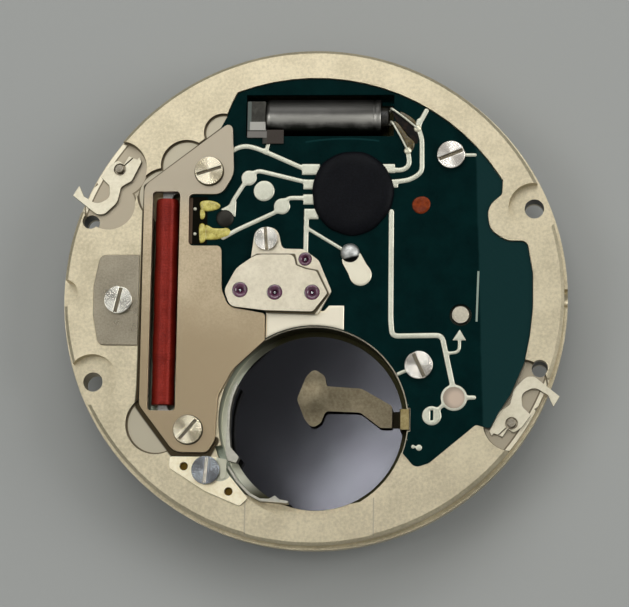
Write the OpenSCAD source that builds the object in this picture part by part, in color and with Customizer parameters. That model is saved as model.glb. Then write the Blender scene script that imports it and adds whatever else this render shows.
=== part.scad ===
// Round quartz watch movement, three hands and a date, seen from the battery side at +Z.
// Origin: centre of the movement, in the plane where the dial sits. The winding stem enters at +X.

/* [Case fit] */
// Diameter of the plate's wall, which fits the watch case
case_d = 25.6; // [25.4:0.1:26]
// Diameter of the flange that stops the movement in the case
flange_d = 26; // [25.9:0.1:26.6]
// Height of the flange above the dial
flange_h = 0.9; // [0.6:0.05:1.1]
// Height of the main plate's rim above the dial
rim_h = 2.1; // [2.05:0.05:2.3]
// Width of the plate's rim outside the circuit board
rim_w = 1.5; // [1.3:0.05:1.6]
// Width of the bevel round the rim's top
rim_bevel = 0.17; // [0.05:0.01:0.25]
// Top of the train bridge, the height of the whole movement above the dial
movement_h = 2.5; // [2.45:0.05:2.7]

/* [Power cell] */
// Diameter of the button cell that the well takes
cell_d = 9.5; // [9.3:0.1:9.5]
// Play all round the button cell
cell_play = 0.05; // [0.03:0.01:0.06]
// Height of the plate's web under the button cell
cell_web_h = 0.36; // [0.32:0.01:0.4]
// Thickness of the insulating film on the well's floor
film_t = 0.06; // [0.03:0.01:0.1]
// Height of the contact leaf above the film when no cell is in
leaf_lift = 0.5; // [0.3:0.05:0.7]
// Thickness of the contact leaf
leaf_t = 0.08; // [0.05:0.01:0.12]

/* [Circuit] */
// Height of the circuit board's top face
board_top = 2; // [1.95:0.01:2.02]
// Thickness of the circuit board
board_t = 0.18; // [0.12:0.01:0.2]
// Thickness of the tinned copper tracks
track_t = 0.02; // [0.01:0.005:0.04]
// Width of a copper track
track_w = 0.22; // [0.16:0.01:0.28]
// Diameter of the moulded cover on the chip
chip_d = 4.25; // [3.6:0.05:4.6]
// Height of the moulded cover on the chip
chip_h = 0.32; // [0.2:0.02:0.45]
// Length of the quartz crystal's can
crystal_l = 5.95; // [5:0.05:6.1]
// Diameter of the quartz crystal's can
crystal_d = 1.9; // [1.6:0.05:1.95]

/* [Motor] */
// Diameter of the wound coil
coil_d = 1.2; // [0.9:0.05:1.3]
// Length of the wound coil
coil_l = 10.7; // [9:0.1:11]
// Width of the iron core in the coil
core_w = 0.5; // [0.4:0.02:0.6]
// Thickness of the core's and the stator's sheet
iron_t = 0.22; // [0.16:0.01:0.24]
// Diameter of the rotor's magnet
magnet_d = 1.2; // [1:0.05:1.3]
// Gap between the magnet and the stator
magnet_gap = 0.2; // [0.12:0.01:0.3]
// Thickness of the plate over the coil
cover_t = 0.25; // [0.15:0.01:0.3]

/* [Going train] */
// Radius of the arbors' pivots
pivot_r = 0.06; // [0.04:0.01:0.07]
// Radial play of a pivot in its jewel
pivot_play = 0.015; // [0.01:0.005:0.03]
// Radius of an arbor between its pivots
arbor_r = 0.08; // [0.08:0.01:0.1]
// Diameter of a bridge jewel
jewel_d = 0.8; // [0.7:0.02:0.9]
// Thickness of a train wheel
wheel_t = 0.09; // [0.07:0.01:0.1]
// Leaves of the rotor's pinion
rotor_leaves = 8; // [7:1:9]
// Teeth of the intermediate wheel
intermediate_teeth = 60; // [56:1:64]
// Leaves of the intermediate pinion
intermediate_leaves = 12; // [11:1:13]
// Teeth of the seconds wheel
second_teeth = 48; // [46:1:50]
// Leaves of the seconds pinion
second_leaves = 7; // [7:1:8]
// Teeth of the third wheel
third_teeth = 70; // [66:1:72]
// Leaves of the third pinion
third_leaves = 10; // [9:1:11]
// Teeth of the centre wheel
centre_teeth = 60; // [58:1:62]

/* [Hand fittings] */
// Diameter of the seat for the seconds hand
seconds_seat_d = 0.2; // [0.18:0.01:0.22]
// Diameter of the seat for the minute hand
minute_seat_d = 0.7; // [0.66:0.01:0.72]
// Diameter of the seat for the hour hand
hour_seat_d = 1.2; // [1.14:0.01:1.25]
// Reach of the seconds arbor below the dial side
seconds_reach = 1.9; // [1.7:0.05:2.2]
// Reach of the cannon pinion below the dial side
minute_reach = 1.4; // [1.2:0.05:1.5]
// Reach of the hour wheel's pipe below the dial side
hour_reach = 0.85; // [0.6:0.05:0.95]

/* [Motion work and date] */
// Size of a motion-work tooth, as pitch diameter over the number of teeth
motion_module = 0.09; // [0.086:0.001:0.09]
// Leaves of the cannon pinion
cannon_leaves = 10; // [9:1:11]
// Teeth of the minute wheel
minute_teeth = 30; // [28:1:30]
// Leaves of the minute pinion
minute_leaves = 8; // [7:1:9]
// Teeth of the setting wheel
setting_teeth = 28; // [26:1:28]
// Teeth of the date idler
idler_teeth = 24; // [22:1:26]
// Outer diameter of the date ring
date_ring_d = 22.6; // [22.2:0.1:22.6]
// Thickness of the date ring
date_ring_t = 0.11; // [0.08:0.01:0.12]
// Thickness of the plate that keeps the date ring in
keeper_t = 0.1; // [0.08:0.01:0.12]

/* [Fastenings] */
// Diameter of a screw's head
screw_head_d = 1.44; // [1.3:0.02:1.5]
// Height of a screw's head
screw_head_h = 0.25; // [0.2:0.01:0.3]
// Diameter of a screw's shank
screw_shank_d = 0.7; // [0.5:0.02:0.8]
// Width of a screw's slot
screw_slot_w = 0.17; // [0.12:0.01:0.22]
// Depth of a screw's slot
screw_slot_h = 0.13; // [0.08:0.01:0.16]
// Diameter of the winding stem's hole
stem_hole_d = 0.95; // [0.9:0.01:1]
// Height of the winding stem's axis above the dial
stem_h = 0.8; // [0.78:0.01:0.82]
// Diameter of the holes for the dial's feet
dial_foot_d = 0.82; // [0.76:0.02:0.9]
// Diameter of the two holes for the casing clamps' screws
clamp_hole_d = 1; // [0.9:0.02:1.1]
// Diameter of the seats round the clamp screws' holes
clamp_seat_d = 2.6; // [2.4:0.05:2.8]
// Thickness of a dial-foot latch
latch_t = 0.22; // [0.16:0.01:0.26]
// Radius of a dial-foot latch's post
latch_post_r = 0.21; // [0.18:0.01:0.24]

/* [Hidden] */
$fn = 64;
// Small gap that parts keep from each other, and the overrun of a cut past a face
gap = 0.03;
over = 0.1;

// Heights of the layers above the dial side
web_lo = 0.8;
web_hi = 1.06;
ring_recess_h = 0.27;
board_lo = board_top - board_t;
ledge_h = board_lo;
latch_z = board_lo - latch_t - gap;
pocket_h = latch_z - 0.02;
clamp_seat_h = 1.5;
case_r = case_d / 2;
flange_r = flange_d / 2;
board_outer_r = case_r - rim_w;

// The well for the button cell
well = [0.1, -6.5];
well_r = cell_d / 2 + cell_play;
film_top = cell_web_h + film_t;

// Jewel positions: the going train's four axes
rotor_at = [-3.69, 0.12];
intermediate_at = [-1.91, 0];
centre_at = [0, 0];
third_at = [-0.4, 1.76];
jewel_r = jewel_d / 2;
third_jewel_r = 0.35;
bridge_lo = board_top;
bridge_step = 2.25;

// Radii of a wheel at its teeth's tips and roots
function tip_r(teeth, m) = m * (teeth / 2 + 0.85);
function root_r(teeth, m) = m * (teeth / 2 - 1.1);

// Layers of the going train
centre_wheel_z = 1.13;
third_wheel_z = 1.37;
second_wheel_z = 1.52;
intermediate_wheel_z = 1.68;
stator_z = 1.28;
core_z = stator_z + iron_t;
magnet_lo = 1.13;
magnet_hi = 1.62;

// Gear sizes follow from the distances between the jewels
function module_of(a, b, ta, tb) = 2 * norm(a - b) / (ta + tb);
rotor_m = module_of(rotor_at, intermediate_at, rotor_leaves, intermediate_teeth);
second_m = module_of(intermediate_at, centre_at, intermediate_leaves, second_teeth);
third_m = module_of(centre_at, third_at, second_leaves, third_teeth);
centre_m = module_of(third_at, centre_at, third_leaves, centre_teeth);

// Direction from one axis to the next, in degrees
function toward(a, b) = atan2(b.y - a.y, b.x - a.x);
// Turn of a gear that meshes with one already turned, with tooth against gap
function mesh(a, b, turn_a, ta, tb) =
    let (d = toward(a, b)) d + 180 - 360 / tb * (0.5 - (d - turn_a) * ta / 360);

rotor_turn = 0;
intermediate_turn = mesh(rotor_at, intermediate_at, rotor_turn, rotor_leaves, intermediate_teeth);
second_turn = mesh(intermediate_at, centre_at, 0, intermediate_leaves, second_teeth);
third_turn = mesh(centre_at, third_at, 0, second_leaves, third_teeth);
centre_turn = mesh(third_at, centre_at, 0, third_leaves, centre_teeth);

// Motion work and date work, in the dial-side pockets
function along(p, dir, d) = p + d * [cos(dir), sin(dir)];
mm = motion_module;
hour_teeth = cannon_leaves + minute_teeth - minute_leaves;
date_teeth = 2 * hour_teeth;
minute_at = along(centre_at, 14, mm * (cannon_leaves + minute_teeth) / 2);
setting_at = along(minute_at, -7, mm * (minute_teeth + setting_teeth) / 2);
date_dir = 120;
ring_w = 2.4;
ring_tooth_root = date_ring_d / 2 - ring_w;
ring_tooth_tip = ring_tooth_root - 0.3;
date_r = ring_tooth_tip - tip_r(date_teeth, mm) - gap;
date_at = along(centre_at, date_dir, date_r);
idler_gap = mm * (hour_teeth + idler_teeth) / 2;
idler_to_date = mm * (idler_teeth + date_teeth) / 2;
idler_angle = acos((pow(idler_gap, 2) + pow(norm(date_at), 2) - pow(idler_to_date, 2))
    / (2 * idler_gap * norm(date_at)));
idler_at = along(centre_at, date_dir + idler_angle, idler_gap);
minute_turn = mesh(centre_at, minute_at, 0, cannon_leaves, minute_teeth);
hour_turn = mesh(minute_at, centre_at, 0, minute_leaves, hour_teeth);
setting_turn = mesh(minute_at, setting_at, minute_turn, minute_teeth, setting_teeth);
idler_turn = mesh(centre_at, idler_at, hour_turn, hour_teeth, idler_teeth);
date_turn = mesh(idler_at, date_at, idler_turn, idler_teeth, date_teeth);
hour_wheel_z = 0.18;
hour_wheel_t = 0.14;
hour_shoulder_r = hour_seat_d / 2 + 0.2;
hour_pocket_h = 0.36;
minute_wheel_z = 0.55;
minute_wheel_t = 0.13;
stud_r = 0.14;
pipe_r = minute_seat_d / 2 - 0.13;
pipe_bore_r = seconds_seat_d / 2 + gap;

// Date ring, its keeper and its jumper
date_days = 31;
ring_z = keeper_t + 0.02;
ring_recess_r = ring_tooth_tip - 0.15;
keeper_r = ring_tooth_root + 0.2;
pocket_floor = keeper_t;
finger_l = (ring_tooth_tip + ring_tooth_root) / 2 - date_r;
finger_z = keeper_t + 0.015;
finger_t = 0.03;
finger_turn = -40;
jumper_at = [1.98 - ring_tooth_root, -1.985];

// Keyless work
clutch_x = 6;
clutch_l = 1.25;
clutch_r = 0.55;
groove_x = clutch_x + 0.75;
groove_w = 0.2;
clutch_travel = 0.3;
lever_at = [7.55, -1.06];
yoke_at = [6.3, -2.9];
lever_z = 0.32;
lever_t = 0.2;
lever_room = lever_z + lever_t + gap;
lever_stud_r = 0.43;

// Coil, its cover and the screws
coil_x = -7.62;
coil_y = -0.4;
coil_z = core_z + iron_t / 2;
coil_room = 0.11;
coil_lo = coil_y - coil_l / 2;
coil_hi = coil_y + coil_l / 2;
core_left = coil_x - core_w / 2;
core_right = coil_x + core_w / 2;
cover_z = board_top;
cover_screw_at = [[-5.43, 6.34], [-6.21, -7.06]];
board_screw_at = [[7.01, 7.24], [5.45, -3.66]];
side_screw_at = [-9.96, -0.4];
bridle_screw_at = [-5.25, -9.11];
bridge_screw_at = [-2.41, 2.8];
keeper_screw_r = 7.6;
keeper_screw_at = [for (dir = [75, 160, 318]) along(centre_at, dir, keeper_screw_r)];
keeper_shank_r = 0.25;
side_plate_t = 0.2;
shank_hole_r = screw_shank_d / 2 + 0.02;
bridge_head_d = 1.18;
pillar_r = 0.52;
small_head_d = 1.1;

// Rim furniture: each pair is point-symmetric about the centre
latch_at = [-10.15, 6.55];
dial_foot_at = [-11.56, 3.76];
clamp_hole_at = [11.27, 4.54];
latch_play = 0.1;
clamp_seat_at = [11.25, 4.48];
// Milling marks in the ledge beside the cover as [x, y, radius], and their depth
milling = [[-7.75, 5.15, 1.42], [-6.65, 6.72, 1.33], [-4.78, 8.45, 1], [-7.9, -6.75, 1.55]];
milling_h = 1.85;
spring_room = 0.32;

// Chip, lacquer dot, crystal and the contact beside the well
chip_at = [2, 5.22];
dot_at = [5.5, 4.64];
dot_r = 0.46;
crystal_x = 3.38;
crystal_inset = 1.95;
crystal_y = board_outer_r - crystal_inset;
crystal_floor = 0.43;
crystal_z = crystal_floor + gap + crystal_d / 2;
crystal_end = crystal_x - crystal_l;
crystal_base_l = 0.42;
holder_l = 0.95;
lead_z = board_top + 0.1;
lead_r = 0.09;
leaf_z = film_top + leaf_lift;
root_x = 4.5;
root_y = -6.9;
root_w = 1;
// Fluxed joints of the coil's ends as [x, y, radius, height]
flux_joints = [[-5.55, 3.25, 0.42, 0.08], [-5.5, 4.3, 0.42, 0.08], [-4.85, 2.98, 0.3, 0.06],
    [-4.75, 4.65, 0.26, 0.06]];

// Outlines in the plan, as corners [x, y, radius]
board_right = [[9.65, 5.9, 0.35], [9.62, 5.2, 0.3], [8.85, 4.55, 0.9], [9, 3.3, 0.9], [9.9, 2.75, 0.7],
    [10.9, 2.75, 0.35], [11.2, 1.1, 0], [11.2, -0.7, 0], [11.05, -2.1, 0], [10.78, -3.5, 0.1],
    [10.07, -5.14, 0.2], [9.45, -6.1, 0.2], [9.05, -6.85, 0.15], [8.35, -6.65, 0.2], [6, -8.62, 0.3],
    [5.3, -8.85, 0.4], [4.7, -8.15, 0]];
board_left = [[-2.9, -3, 0], [-4.95, -1, 0], [-4.95, 2.2, 0], [-6.5, 2.2, 0.1], [-6.6, 5.4, 0.1],
    [-4.6, 9.3, 0.2], [-4.3, 10.05, 0]];
cover_outline = [[-4.28, 9.05, 0.25], [-4.15, 6.2, 1.1], [-4.75, 5.15, 0.6], [-6.45, 5.15, 0.25],
    [-6.42, 2.45, 0.25], [-4.72, 2.45, 0.25], [-4.66, 0.2, 0.5], [-4.3, -0.7, 0.6], [-2.42, -1.05, 0.15],
    [-2.4, -2.45, 0], [-4, -3.95, 0.9], [-4.72, -5.3, 0.9], [-4.85, -7.6, 0.4], [-5.2, -8.2, 0.35],
    [-6.9, -8.2, 0.8], [-8.75, -5.8, 0.5], [-8.78, 5.6, 0.6]];
slot_left = coil_x - coil_d / 2 - coil_room;
slot_right = coil_x + coil_d / 2 + coil_room;
slot_top = coil_hi + 3 * coil_room;
slot_low = coil_lo - 3 * coil_room;
slot_outline = [[slot_left, slot_top, 0.2], [slot_right, slot_top, 0.2], [slot_right, slot_low, 0.2],
    [slot_left, slot_low, 0.2]];
side_outline = [[-8.95, 1.96, 0], [-8.95, -2.71, 0], [-10.95, -2.71, 0.35], [-11.4, -0.4, 4],
    [-10.95, 1.96, 0.35]];
bridge_top_outline = [[-4.5, 0.1, 0.5], [-3.9, 1.25, 0.9], [-2.9, 1.95, 0.9], [-0.98, 1.95, 0.3],
    [-0.85, 1.4, 0.15], [-0.35, 1.2, 0.2], [0.2, 1.1, 0.2], [0.78, -0.05, 0.2], [0.05, -0.99, 0.25],
    [-2.4, -0.93, 0.3], [-4.2, -0.72, 0.5]];
bridge_low_outline = [[-3.2, 1.7, 0], [-3.12, 2.3, 0], [-2.98, 3.42, 0.55], [-1.84, 3.42, 0.55],
    [-1.6, 2.3, 0.3], [-0.5, 2.28, 0.35], [0.3, 1.7, 0.4], [0.98, 0.1, 0.2], [0.3, -1.1, 0.3],
    [-2.4, -1.02, 0.2], [-2.9, 0.5, 0]];
board_window = [[-2.8, 1.9, 0.2], [-2.8, 3.1, 0.3], [-2.02, 3.1, 0.3], [-1.7, 1.95, 0.3], [-0.5, 2.05, 0.3],
    [0.1, 1.5, 0.3], [0.65, 0, 0.2], [0.2, -0.7, 0.2], [-3.95, -0.45, 0.3], [-4.1, 0.3, 0.3], [-3.4, 1.2, 0.3]];
lever_pocket = [[8.4, -0.4, 0.3], [8.45, -1.7, 0.5], [7.2, -1.95, 0.4], [6.5, -1.4, 0], [6.8, 0.5, 0],
    [7.74, 0.5, 0]];
yoke_pocket = [[5.5, -3.2, 0.3], [6.2, -3.75, 0.4], [7, -3.2, 0.4], [7.3, -0.5, 0], [5.9, -0.5, 0],
    [5.6, -2.6, 0.4]];
jumper_pocket = [for (p = [[-0.1, 0.6, 0], [1, 0.5, 0.3], [2.7, -1.5, 0.4], [2.4, -2.7, 0.5], [1.3, -2.5, 0.4],
    [0.1, -0.7, 0]]) [p.x - ring_tooth_root, p.y, p.z]];
bridle_outline = [[-7.1, -8.42, 0.12], [-7.12, -9, 0.2], [-5.3, -10.15, 0.5], [-3.5, -10.9, 0.12],
    [-3.1, -10.5, 0.1], [-4.1, -9.3, 0.4], [-4.6, -8.42, 0.3]];
leaf_outline = [[-0.35, -4.15, 0.3], [0.06, -3.72, 0.3], [0.62, -4.1, 0.25], [0.72, -4.62, 0.15],
    [2.5, -4.72, 0.6], [4.08, -5.62, 0.2], [4.08, -6.74, 0.06], [3.5, -6.74, 0.2], [2.45, -5.95, 0.3],
    [0.68, -5.9, 0.25], [0.45, -6.5, 0.3], [0, -6.8, 0.3], [-0.4, -6.3, 0.3], [-0.8, -5.3, 0.4]];
latch_outline = [[1, 0.66, 0.02], [1.12, 0.4, 0.05], [0.62, -0.62, 0.08], [0.08, -0.92, 0.3],
    [-0.1, -1.75, 0.5], [-0.75, -2.38, 0.4], [-1.15, -2.38, 0.3], [-2.42, -1.38, 0.05],
    [-2.1, -0.85, 0.03], [-1.85, -1.42, 0.15], [-1.15, -1.86, 0.5], [-0.48, -1.5, 0.4],
    [-0.52, -0.85, 0.3], [-0.98, -0.42, 0.06], [-0.5, 0.22, 0.25], [-0.12, 0.48, 0.15],
    [0.2, 0.28, 0.05], [0.45, 0.7, 0.03], [0.9, 0.52, 0.02]];

// A rounded corner, and a closed outline with every corner rounded
function unit(v) = v / norm(v);
function corner(a, b, c, r) = r <= 0 ? [b] :
    let (u = unit(a - b), v = unit(c - b), half = acos(u * v) / 2,
        m = b + unit(u + v) * r / sin(half), s = b + u * r / tan(half) - m, e = b + v * r / tan(half) - m,
        start = atan2(s.y, s.x), turn = atan2(s.x * e.y - s.y * e.x, s * e), n = max(1, round(abs(turn) / 16)))
    [for (i = [0 : n]) m + r * [cos(start + turn * i / n), sin(start + turn * i / n)]];
function flat(p) = [p.x, p.y];
function rounded(p) = let (n = len(p))
    [for (i = [0 : n - 1]) each corner(flat(p[(i + n - 1) % n]), flat(p[i]), flat(p[(i + 1) % n]), p[i].z)];
// Signed area, and the outline moved outwards all round by d
function area(p) = let (n = len(p)) [for (i = [0 : n - 1]) cross(p[i], p[(i + 1) % n]) / 2] * [for (q = p) 1];
function grown(p, d) = let (n = len(p), s = area(p) > 0 ? 1 : -1)
    [for (i = [0 : n - 1]) let (u = unit(p[i] - p[(i + n - 1) % n]), v = unit(p[(i + 1) % n] - p[i]),
        k = unit(u + v)) p[i] + s * d * [k.y, -k.x] / max(0.5, cross(unit([u.y, -u.x]), k))];
// An arc round the centre, as outline points
function rim_arc(r, from, to, n) = [for (i = [0 : n]) r * [cos(from + (to - from) * i / n),
    sin(from + (to - from) * i / n)]];

module slab(points, lo, hi) translate([0, 0, lo]) linear_extrude(hi - lo) polygon(points);
module disc(at, r, lo, hi) translate([at.x, at.y, lo]) cylinder(h = hi - lo, r = r);
module tube(at, r, bore, lo, hi) difference() {
    disc(at, r, lo, hi);
    disc(at, bore, lo - over, hi + over);
}
module twice() { children(); rotate(180) children(); }

// The board's outline, from its arc under the rim round to the cover
board_outline = concat([for (q = rim_arc(board_outer_r, 111, 33, 16)) q], rounded_open(board_right),
    rounded_open(board_left));
function rounded_open(p) = let (n = len(p)) concat([flat(p[0])], [for (i = [1 : n - 2])
    each corner(flat(p[i - 1]), flat(p[i]), flat(p[i + 1]), p[i].z)], [flat(p[n - 1])]);

// Outline of a gear with straight-flanked teeth that leave some backlash
function gear_points(teeth, m, turn) = [for (i = [0 : teeth - 1]) let (pitch = 360 / teeth,
    root = root_r(teeth, m), tip = tip_r(teeth, m), a = turn + i * pitch)
    each [for (k = [[-0.31, root], [-0.12, tip], [0.12, tip], [0.31, root]])
        k[1] * [cos(a + k[0] * pitch), sin(a + k[0] * pitch)]]];
module gear(at, teeth, m, turn, lo, hi, bore) difference() {
    translate([at.x, at.y, lo]) linear_extrude(hi - lo) polygon(gear_points(teeth, m, turn));
    disc(at, bore, lo - over, hi + over);
}
// Windows between a wheel's arms
module windows(at, inner, outer, arms, arm_w, lo, hi) translate([at.x, at.y, 0]) difference() {
    tube([0, 0], outer, inner, lo - over, hi + over);
    for (i = [0 : arms - 1]) rotate(i * 360 / arms)
        translate([0, -arm_w / 2, lo - 2 * over]) cube([outer + over, arm_w, hi - lo + 4 * over]);
}
module wheel(at, teeth, m, turn, lo, hi, bore, arms) {
    rim = root_r(teeth, m);
    difference() {
        gear(at, teeth, m, turn, lo, hi, bore);
        if (arms > 0) windows(at, rim * 0.34, rim * 0.84, arms, rim * 0.16, lo, hi);
    }
}

// A slotted screw, with its head's foot at z
module screw(at, z, head_d, slot_turn, depth, domed = false) translate([at.x, at.y, z]) difference() {
    union() {
        cylinder(h = screw_head_h, r = head_d / 2);
        translate([0, 0, -depth]) cylinder(h = depth + over / 2, r = screw_shank_d / 2);
    }
    rotate(slot_turn) translate([-head_d, -screw_slot_w / 2, screw_head_h - screw_slot_h])
        cube([2 * head_d, screw_slot_w, 2 * screw_slot_h]);
}
module screw_hole(at, lo, hi) disc(at, shank_hole_r, lo, hi);

// Sheet outlines of the motor, from one screw to the other past the rotor
stator_outline = [[-6.25, 6.2, 0.6], [-6.1, 7.15, 0.6], [-4.7, 7.15, 0.7], [-4.62, 6, 0.6], [-4.75, 2, 1.2],
    [-3.5, 1.4, 0.6], [-2.5, 1, 0.6], [-2.45, -0.8, 0.6], [-3.6, -1.25, 0.6], [-5, -1.5, 1], [-5.55, -4, 1.5],
    [-5.4, -7.8, 0.7], [-7.05, -7.9, 0.7], [-6.95, -6.4, 0.5], [-6.3, -4, 1.5], [-5.8, 0, 3], [-6.25, 4, 2]];
core_outline = [[core_left, -6.3, 0.3], [core_left, 5.5, 0.4], [-6.7, 6.95, 0.7], [-4.7, 7.1, 0.7],
    [-4.65, 5.7, 0.6], [-6.6, 5.65, 0.4], [core_right, coil_hi + 0.2, 0.3], [core_right, coil_lo - 0.2, 0.3],
    [-6.6, -6.3, 0.2], [-5.42, -6.3, 0.6], [-5.42, -7.8, 0.7], [-6.9, -7.8, 0.8]];
side_blade = [[-3.73, -4.72], [-3.84, -4.61], [-4.08, -5.23], [-4.22, -6], [-4.26, -7], [-4.3, -8.2],
    [-4.16, -8.6], [-3.75, -8.7], [-3.6, -8.4], [-4.05, -7.9], [-4.13, -7], [-4.1, -6], [-3.96, -5.3]];
end_blade = [[-4.1, -8.85], [-3.6, -9.62], [-3, -10.22], [-2.5, -10.49], [-2.05, -10.5], [-1.75, -10.33],
    [-1.5, -10.53], [-1.07, -10.6], [-1.09, -10.73], [-2.5, -10.63], [-3.09, -10.32], [-3.7, -9.7],
    [-4.22, -8.9]];
blade_lo = 1.25;
blade_hi = 2.05;
bridle_z = rim_h;
bridle_t = 0.15;
bridle_tab = [[-4.7, -8.46, 0.05], [-4.2, -8.56, 0.05], [-4.22, -9.55, 0.15], [-4.5, -9.55, 0.15],
    [-4.68, -9.2, 0.1]];
lever_outline = [[7.95, -0.75, 0.3], [8, -1.4, 0.4], [7.3, -1.55, 0.3], [6.95, -1.35, 0.1], [7, -1.2, 0.05],
    [7.28, -1, 0.1], [7.32, -0.3, 0.1], [7.58, -0.3, 0.1]];
yoke_outline = [[5.95, -3.1, 0.12], [6.2, -3.3, 0.12], [6.65, -3, 0.25], [6.95, -0.62, 0.15],
    [6.91, -0.34, 0.03], [6.79, -0.34, 0.03], [6.72, -0.6, 0.1], [6.3, -1.8, 0.5], [6, -2.6, 0.3]];
jumper_outline = [for (p = [[0.12, 0, 0.04], [0.38, 0.17, 0.05], [0.6, -0.25, 0.3], [1.7, -1.6, 0.2],
    [2.3, -1.65, 0.3], [2.25, -2.3, 0.3], [1.6, -2.25, 0.3], [0.5, -0.5, 0.5], [0.35, -0.16, 0.1]])
    [p.x - ring_tooth_root, p.y, p.z]];
track_lines = [[[-4.18, 7.55], [-3.74, 7.71], [-3.18, 7.67], [-2.55, 7.43], [-0.47, 6.46]],
    [[-2.55, 7.43], [-2.39, 7.87]], [[-3.39, 6.05], [-3, 6.46], [-0.38, 5.85]],
    [[-3.39, 6.05], [-3.7, 5.65], [-4.2, 4.84], [-4.31, 4.52], [-4.6, 4.3]],
    [[-1.66, 4.56], [-1.41, 5], [-0.44, 5.05]], [[-1.66, 4.56], [-1.93, 4.28], [-3.97, 3.32], [-4.67, 2.91]],
    [[0.2, 4.21], [-0.16, 4.21], [-0.39, 4.05], [-0.4, 2.25]], [[-0.4, 3.46], [-0.26, 3.37], [1.33, 2.37]],
    [[3.97, 4.29], [4, -1.33], [4.08, -2.16], [6.61, -2.11], [7.16, -4.63]],
    [[6.98, -3.02], [7.53, -2.96], [7.5, -2.2]], [[6.13, -6.22], [6.69, -5.67]],
    [[7.24, -5.3], [8.25, -5.28]], [[5.72, 9.6], [5.34, 8.79], [5.5, 8.15], [5.52, 6.36], [4.96, 5.97],
    [3.95, 5.84], [3.9, 5.5]], [[4.88, 7.5], [4.89, 6.7], [4.58, 6.42], [3.6, 6.45]]];
// Round pads as [x, y, radius]
pads = [[-3.39, 6.05, 0.4], [-2.6, 5.37, 0.54], [-1.66, 4.56, 0.42], [2.45, 1.02, 0.6], [7.24, -5.3, 0.67],
    [6.13, -6.22, 0.49], [-0.3, 6.4, 0.24], [-0.2, 5.82, 0.24], [-0.25, 5.05, 0.24], [7.5, -2.05, 0.26]];
solder_studs = [[1.88, 2.13, 0.5], [4.78, 7.48, 0.24], [5.27, 8.65, 0.24], [-4.59, 3.96, 0.41]];

// The blank that everything is cut from: flange, wall and bevelled rim
module plate_blank() {
    disc([0, 0], flange_r, 0, flange_h);
    disc([0, 0], case_r, 0, rim_h - rim_bevel);
    translate([0, 0, rim_h - rim_bevel]) cylinder(h = rim_bevel, r1 = case_r, r2 = case_r - rim_bevel);
}

// Spaces for the crystal and for the contact's rising root
module crystal_slot(lo, hi) {
    room = 0.14;
    y0 = crystal_y - crystal_d / 2 - room;
    x0 = crystal_end - holder_l - 0.07;
    translate([x0, y0, lo]) cube([crystal_x + crystal_base_l + 0.25 - x0, crystal_d + 2 * room, hi - lo]);
}
module contact_slot(reach, lo) translate([root_x - 0.2, root_y - 0.08, lo])
    cube([reach + 0.2, root_w + 0.12, 3]);

// Pockets that open towards the power cell's side
module battery_side_cuts() {
    top = rim_h + over;
    slab(grown(board_outline, gap), ledge_h, top);
    slab(grown(rounded(cover_outline), 2 * gap), cover_z, top);
    slab(grown(rounded(side_outline), gap), cover_z, top);
    slab(grown(rounded(stator_outline), gap), stator_z, top);
    slab(grown(rounded(core_outline), gap), core_z, top);
    slab(rounded(slot_outline), coil_z - coil_d / 2 - gap, top);
    crystal_slot(crystal_floor, top);
    // The going train
    disc(rotor_at, magnet_d / 2 + 0.1, web_hi, top);
    disc(intermediate_at, tip_r(intermediate_teeth, rotor_m) + 2 * gap, intermediate_wheel_z - 2 * gap, top);
    disc(intermediate_at, tip_r(intermediate_leaves, second_m) + 2 * gap, second_wheel_z - 2 * gap, top);
    disc(intermediate_at, 0.25, web_hi, top);
    disc(centre_at, tip_r(centre_teeth, centre_m) + 2 * gap, web_hi, top);
    disc(centre_at, tip_r(second_teeth, second_m) + 2 * gap, second_wheel_z - 2 * gap, top);
    disc(third_at, tip_r(third_teeth, third_m) + 2 * gap, third_wheel_z - 2 * gap, top);
    disc(third_at, tip_r(third_leaves, centre_m) + 2 * gap, web_hi, top);
    // The well, the space behind its springs and the notch for the contact
    disc(well, well_r, cell_web_h, top);
    intersection() {
        disc(well, well_r + spring_room, blade_lo - 2 * gap, top);
        slab([well, [-5.6, -8.1], [-5.6, -12], [-1.5, -12]], 0, top);
    }
    contact_slot(leaf_t + gap, film_top);
    contact_slot(0.52, ledge_h - over);
    // Latch pockets, dial-foot holes and clamp seats
    twice() {
        disc(latch_at, 1.45, pocket_h, top);
        disc([-10.62, 4.68], 1.37, pocket_h, top);
        slab([[-9.3, 4.6], [-8.9, 6.2], [-9.9, 7.9], [-11, 8.8], [-14, 6], [-13, 3.9], [-11.6, 4.4]],
            pocket_h, top);
        disc(dial_foot_at, dial_foot_d / 2, -over, top);
        disc(clamp_hole_at, clamp_hole_d / 2, -over, top);
        disc(clamp_seat_at, clamp_seat_d / 2, clamp_seat_h, top);
    }
    // Milling marks beside the cover, and the notch in the rim opposite the stem
    for (m = milling) disc(m, m.z, milling_h, top);
    disc([-12.8, 0], 0.7, flange_h, top);
    intersection() {
        disc([0, 0], case_r + 1, rim_h - 0.05, top);
        translate([-3.22, -14, 0]) cube([6.44, 3.4, 5]);
    }
    // Threaded holes and the stud that frees the stem
    for (at = cover_screw_at) screw_hole(at, cover_z + cover_t - 1.5, top);
    for (at = board_screw_at) screw_hole(at, board_top - 1.3, top);
    screw_hole(side_screw_at, cover_z - 1.2, top);
    screw_hole(bridge_screw_at, bridge_step - 1.25, top);
    screw_hole(bridle_screw_at, bridle_z - 1.3, top);
    disc(lever_at, lever_stud_r + gap, 0, top);
    for (at = [rotor_at, intermediate_at]) disc(at, jewel_r, 0.85, web_hi + over);
    disc(third_at, third_jewel_r, 0.85, web_hi + over);
    disc(centre_at, pipe_r + 0.02, 0, top);
}

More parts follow.
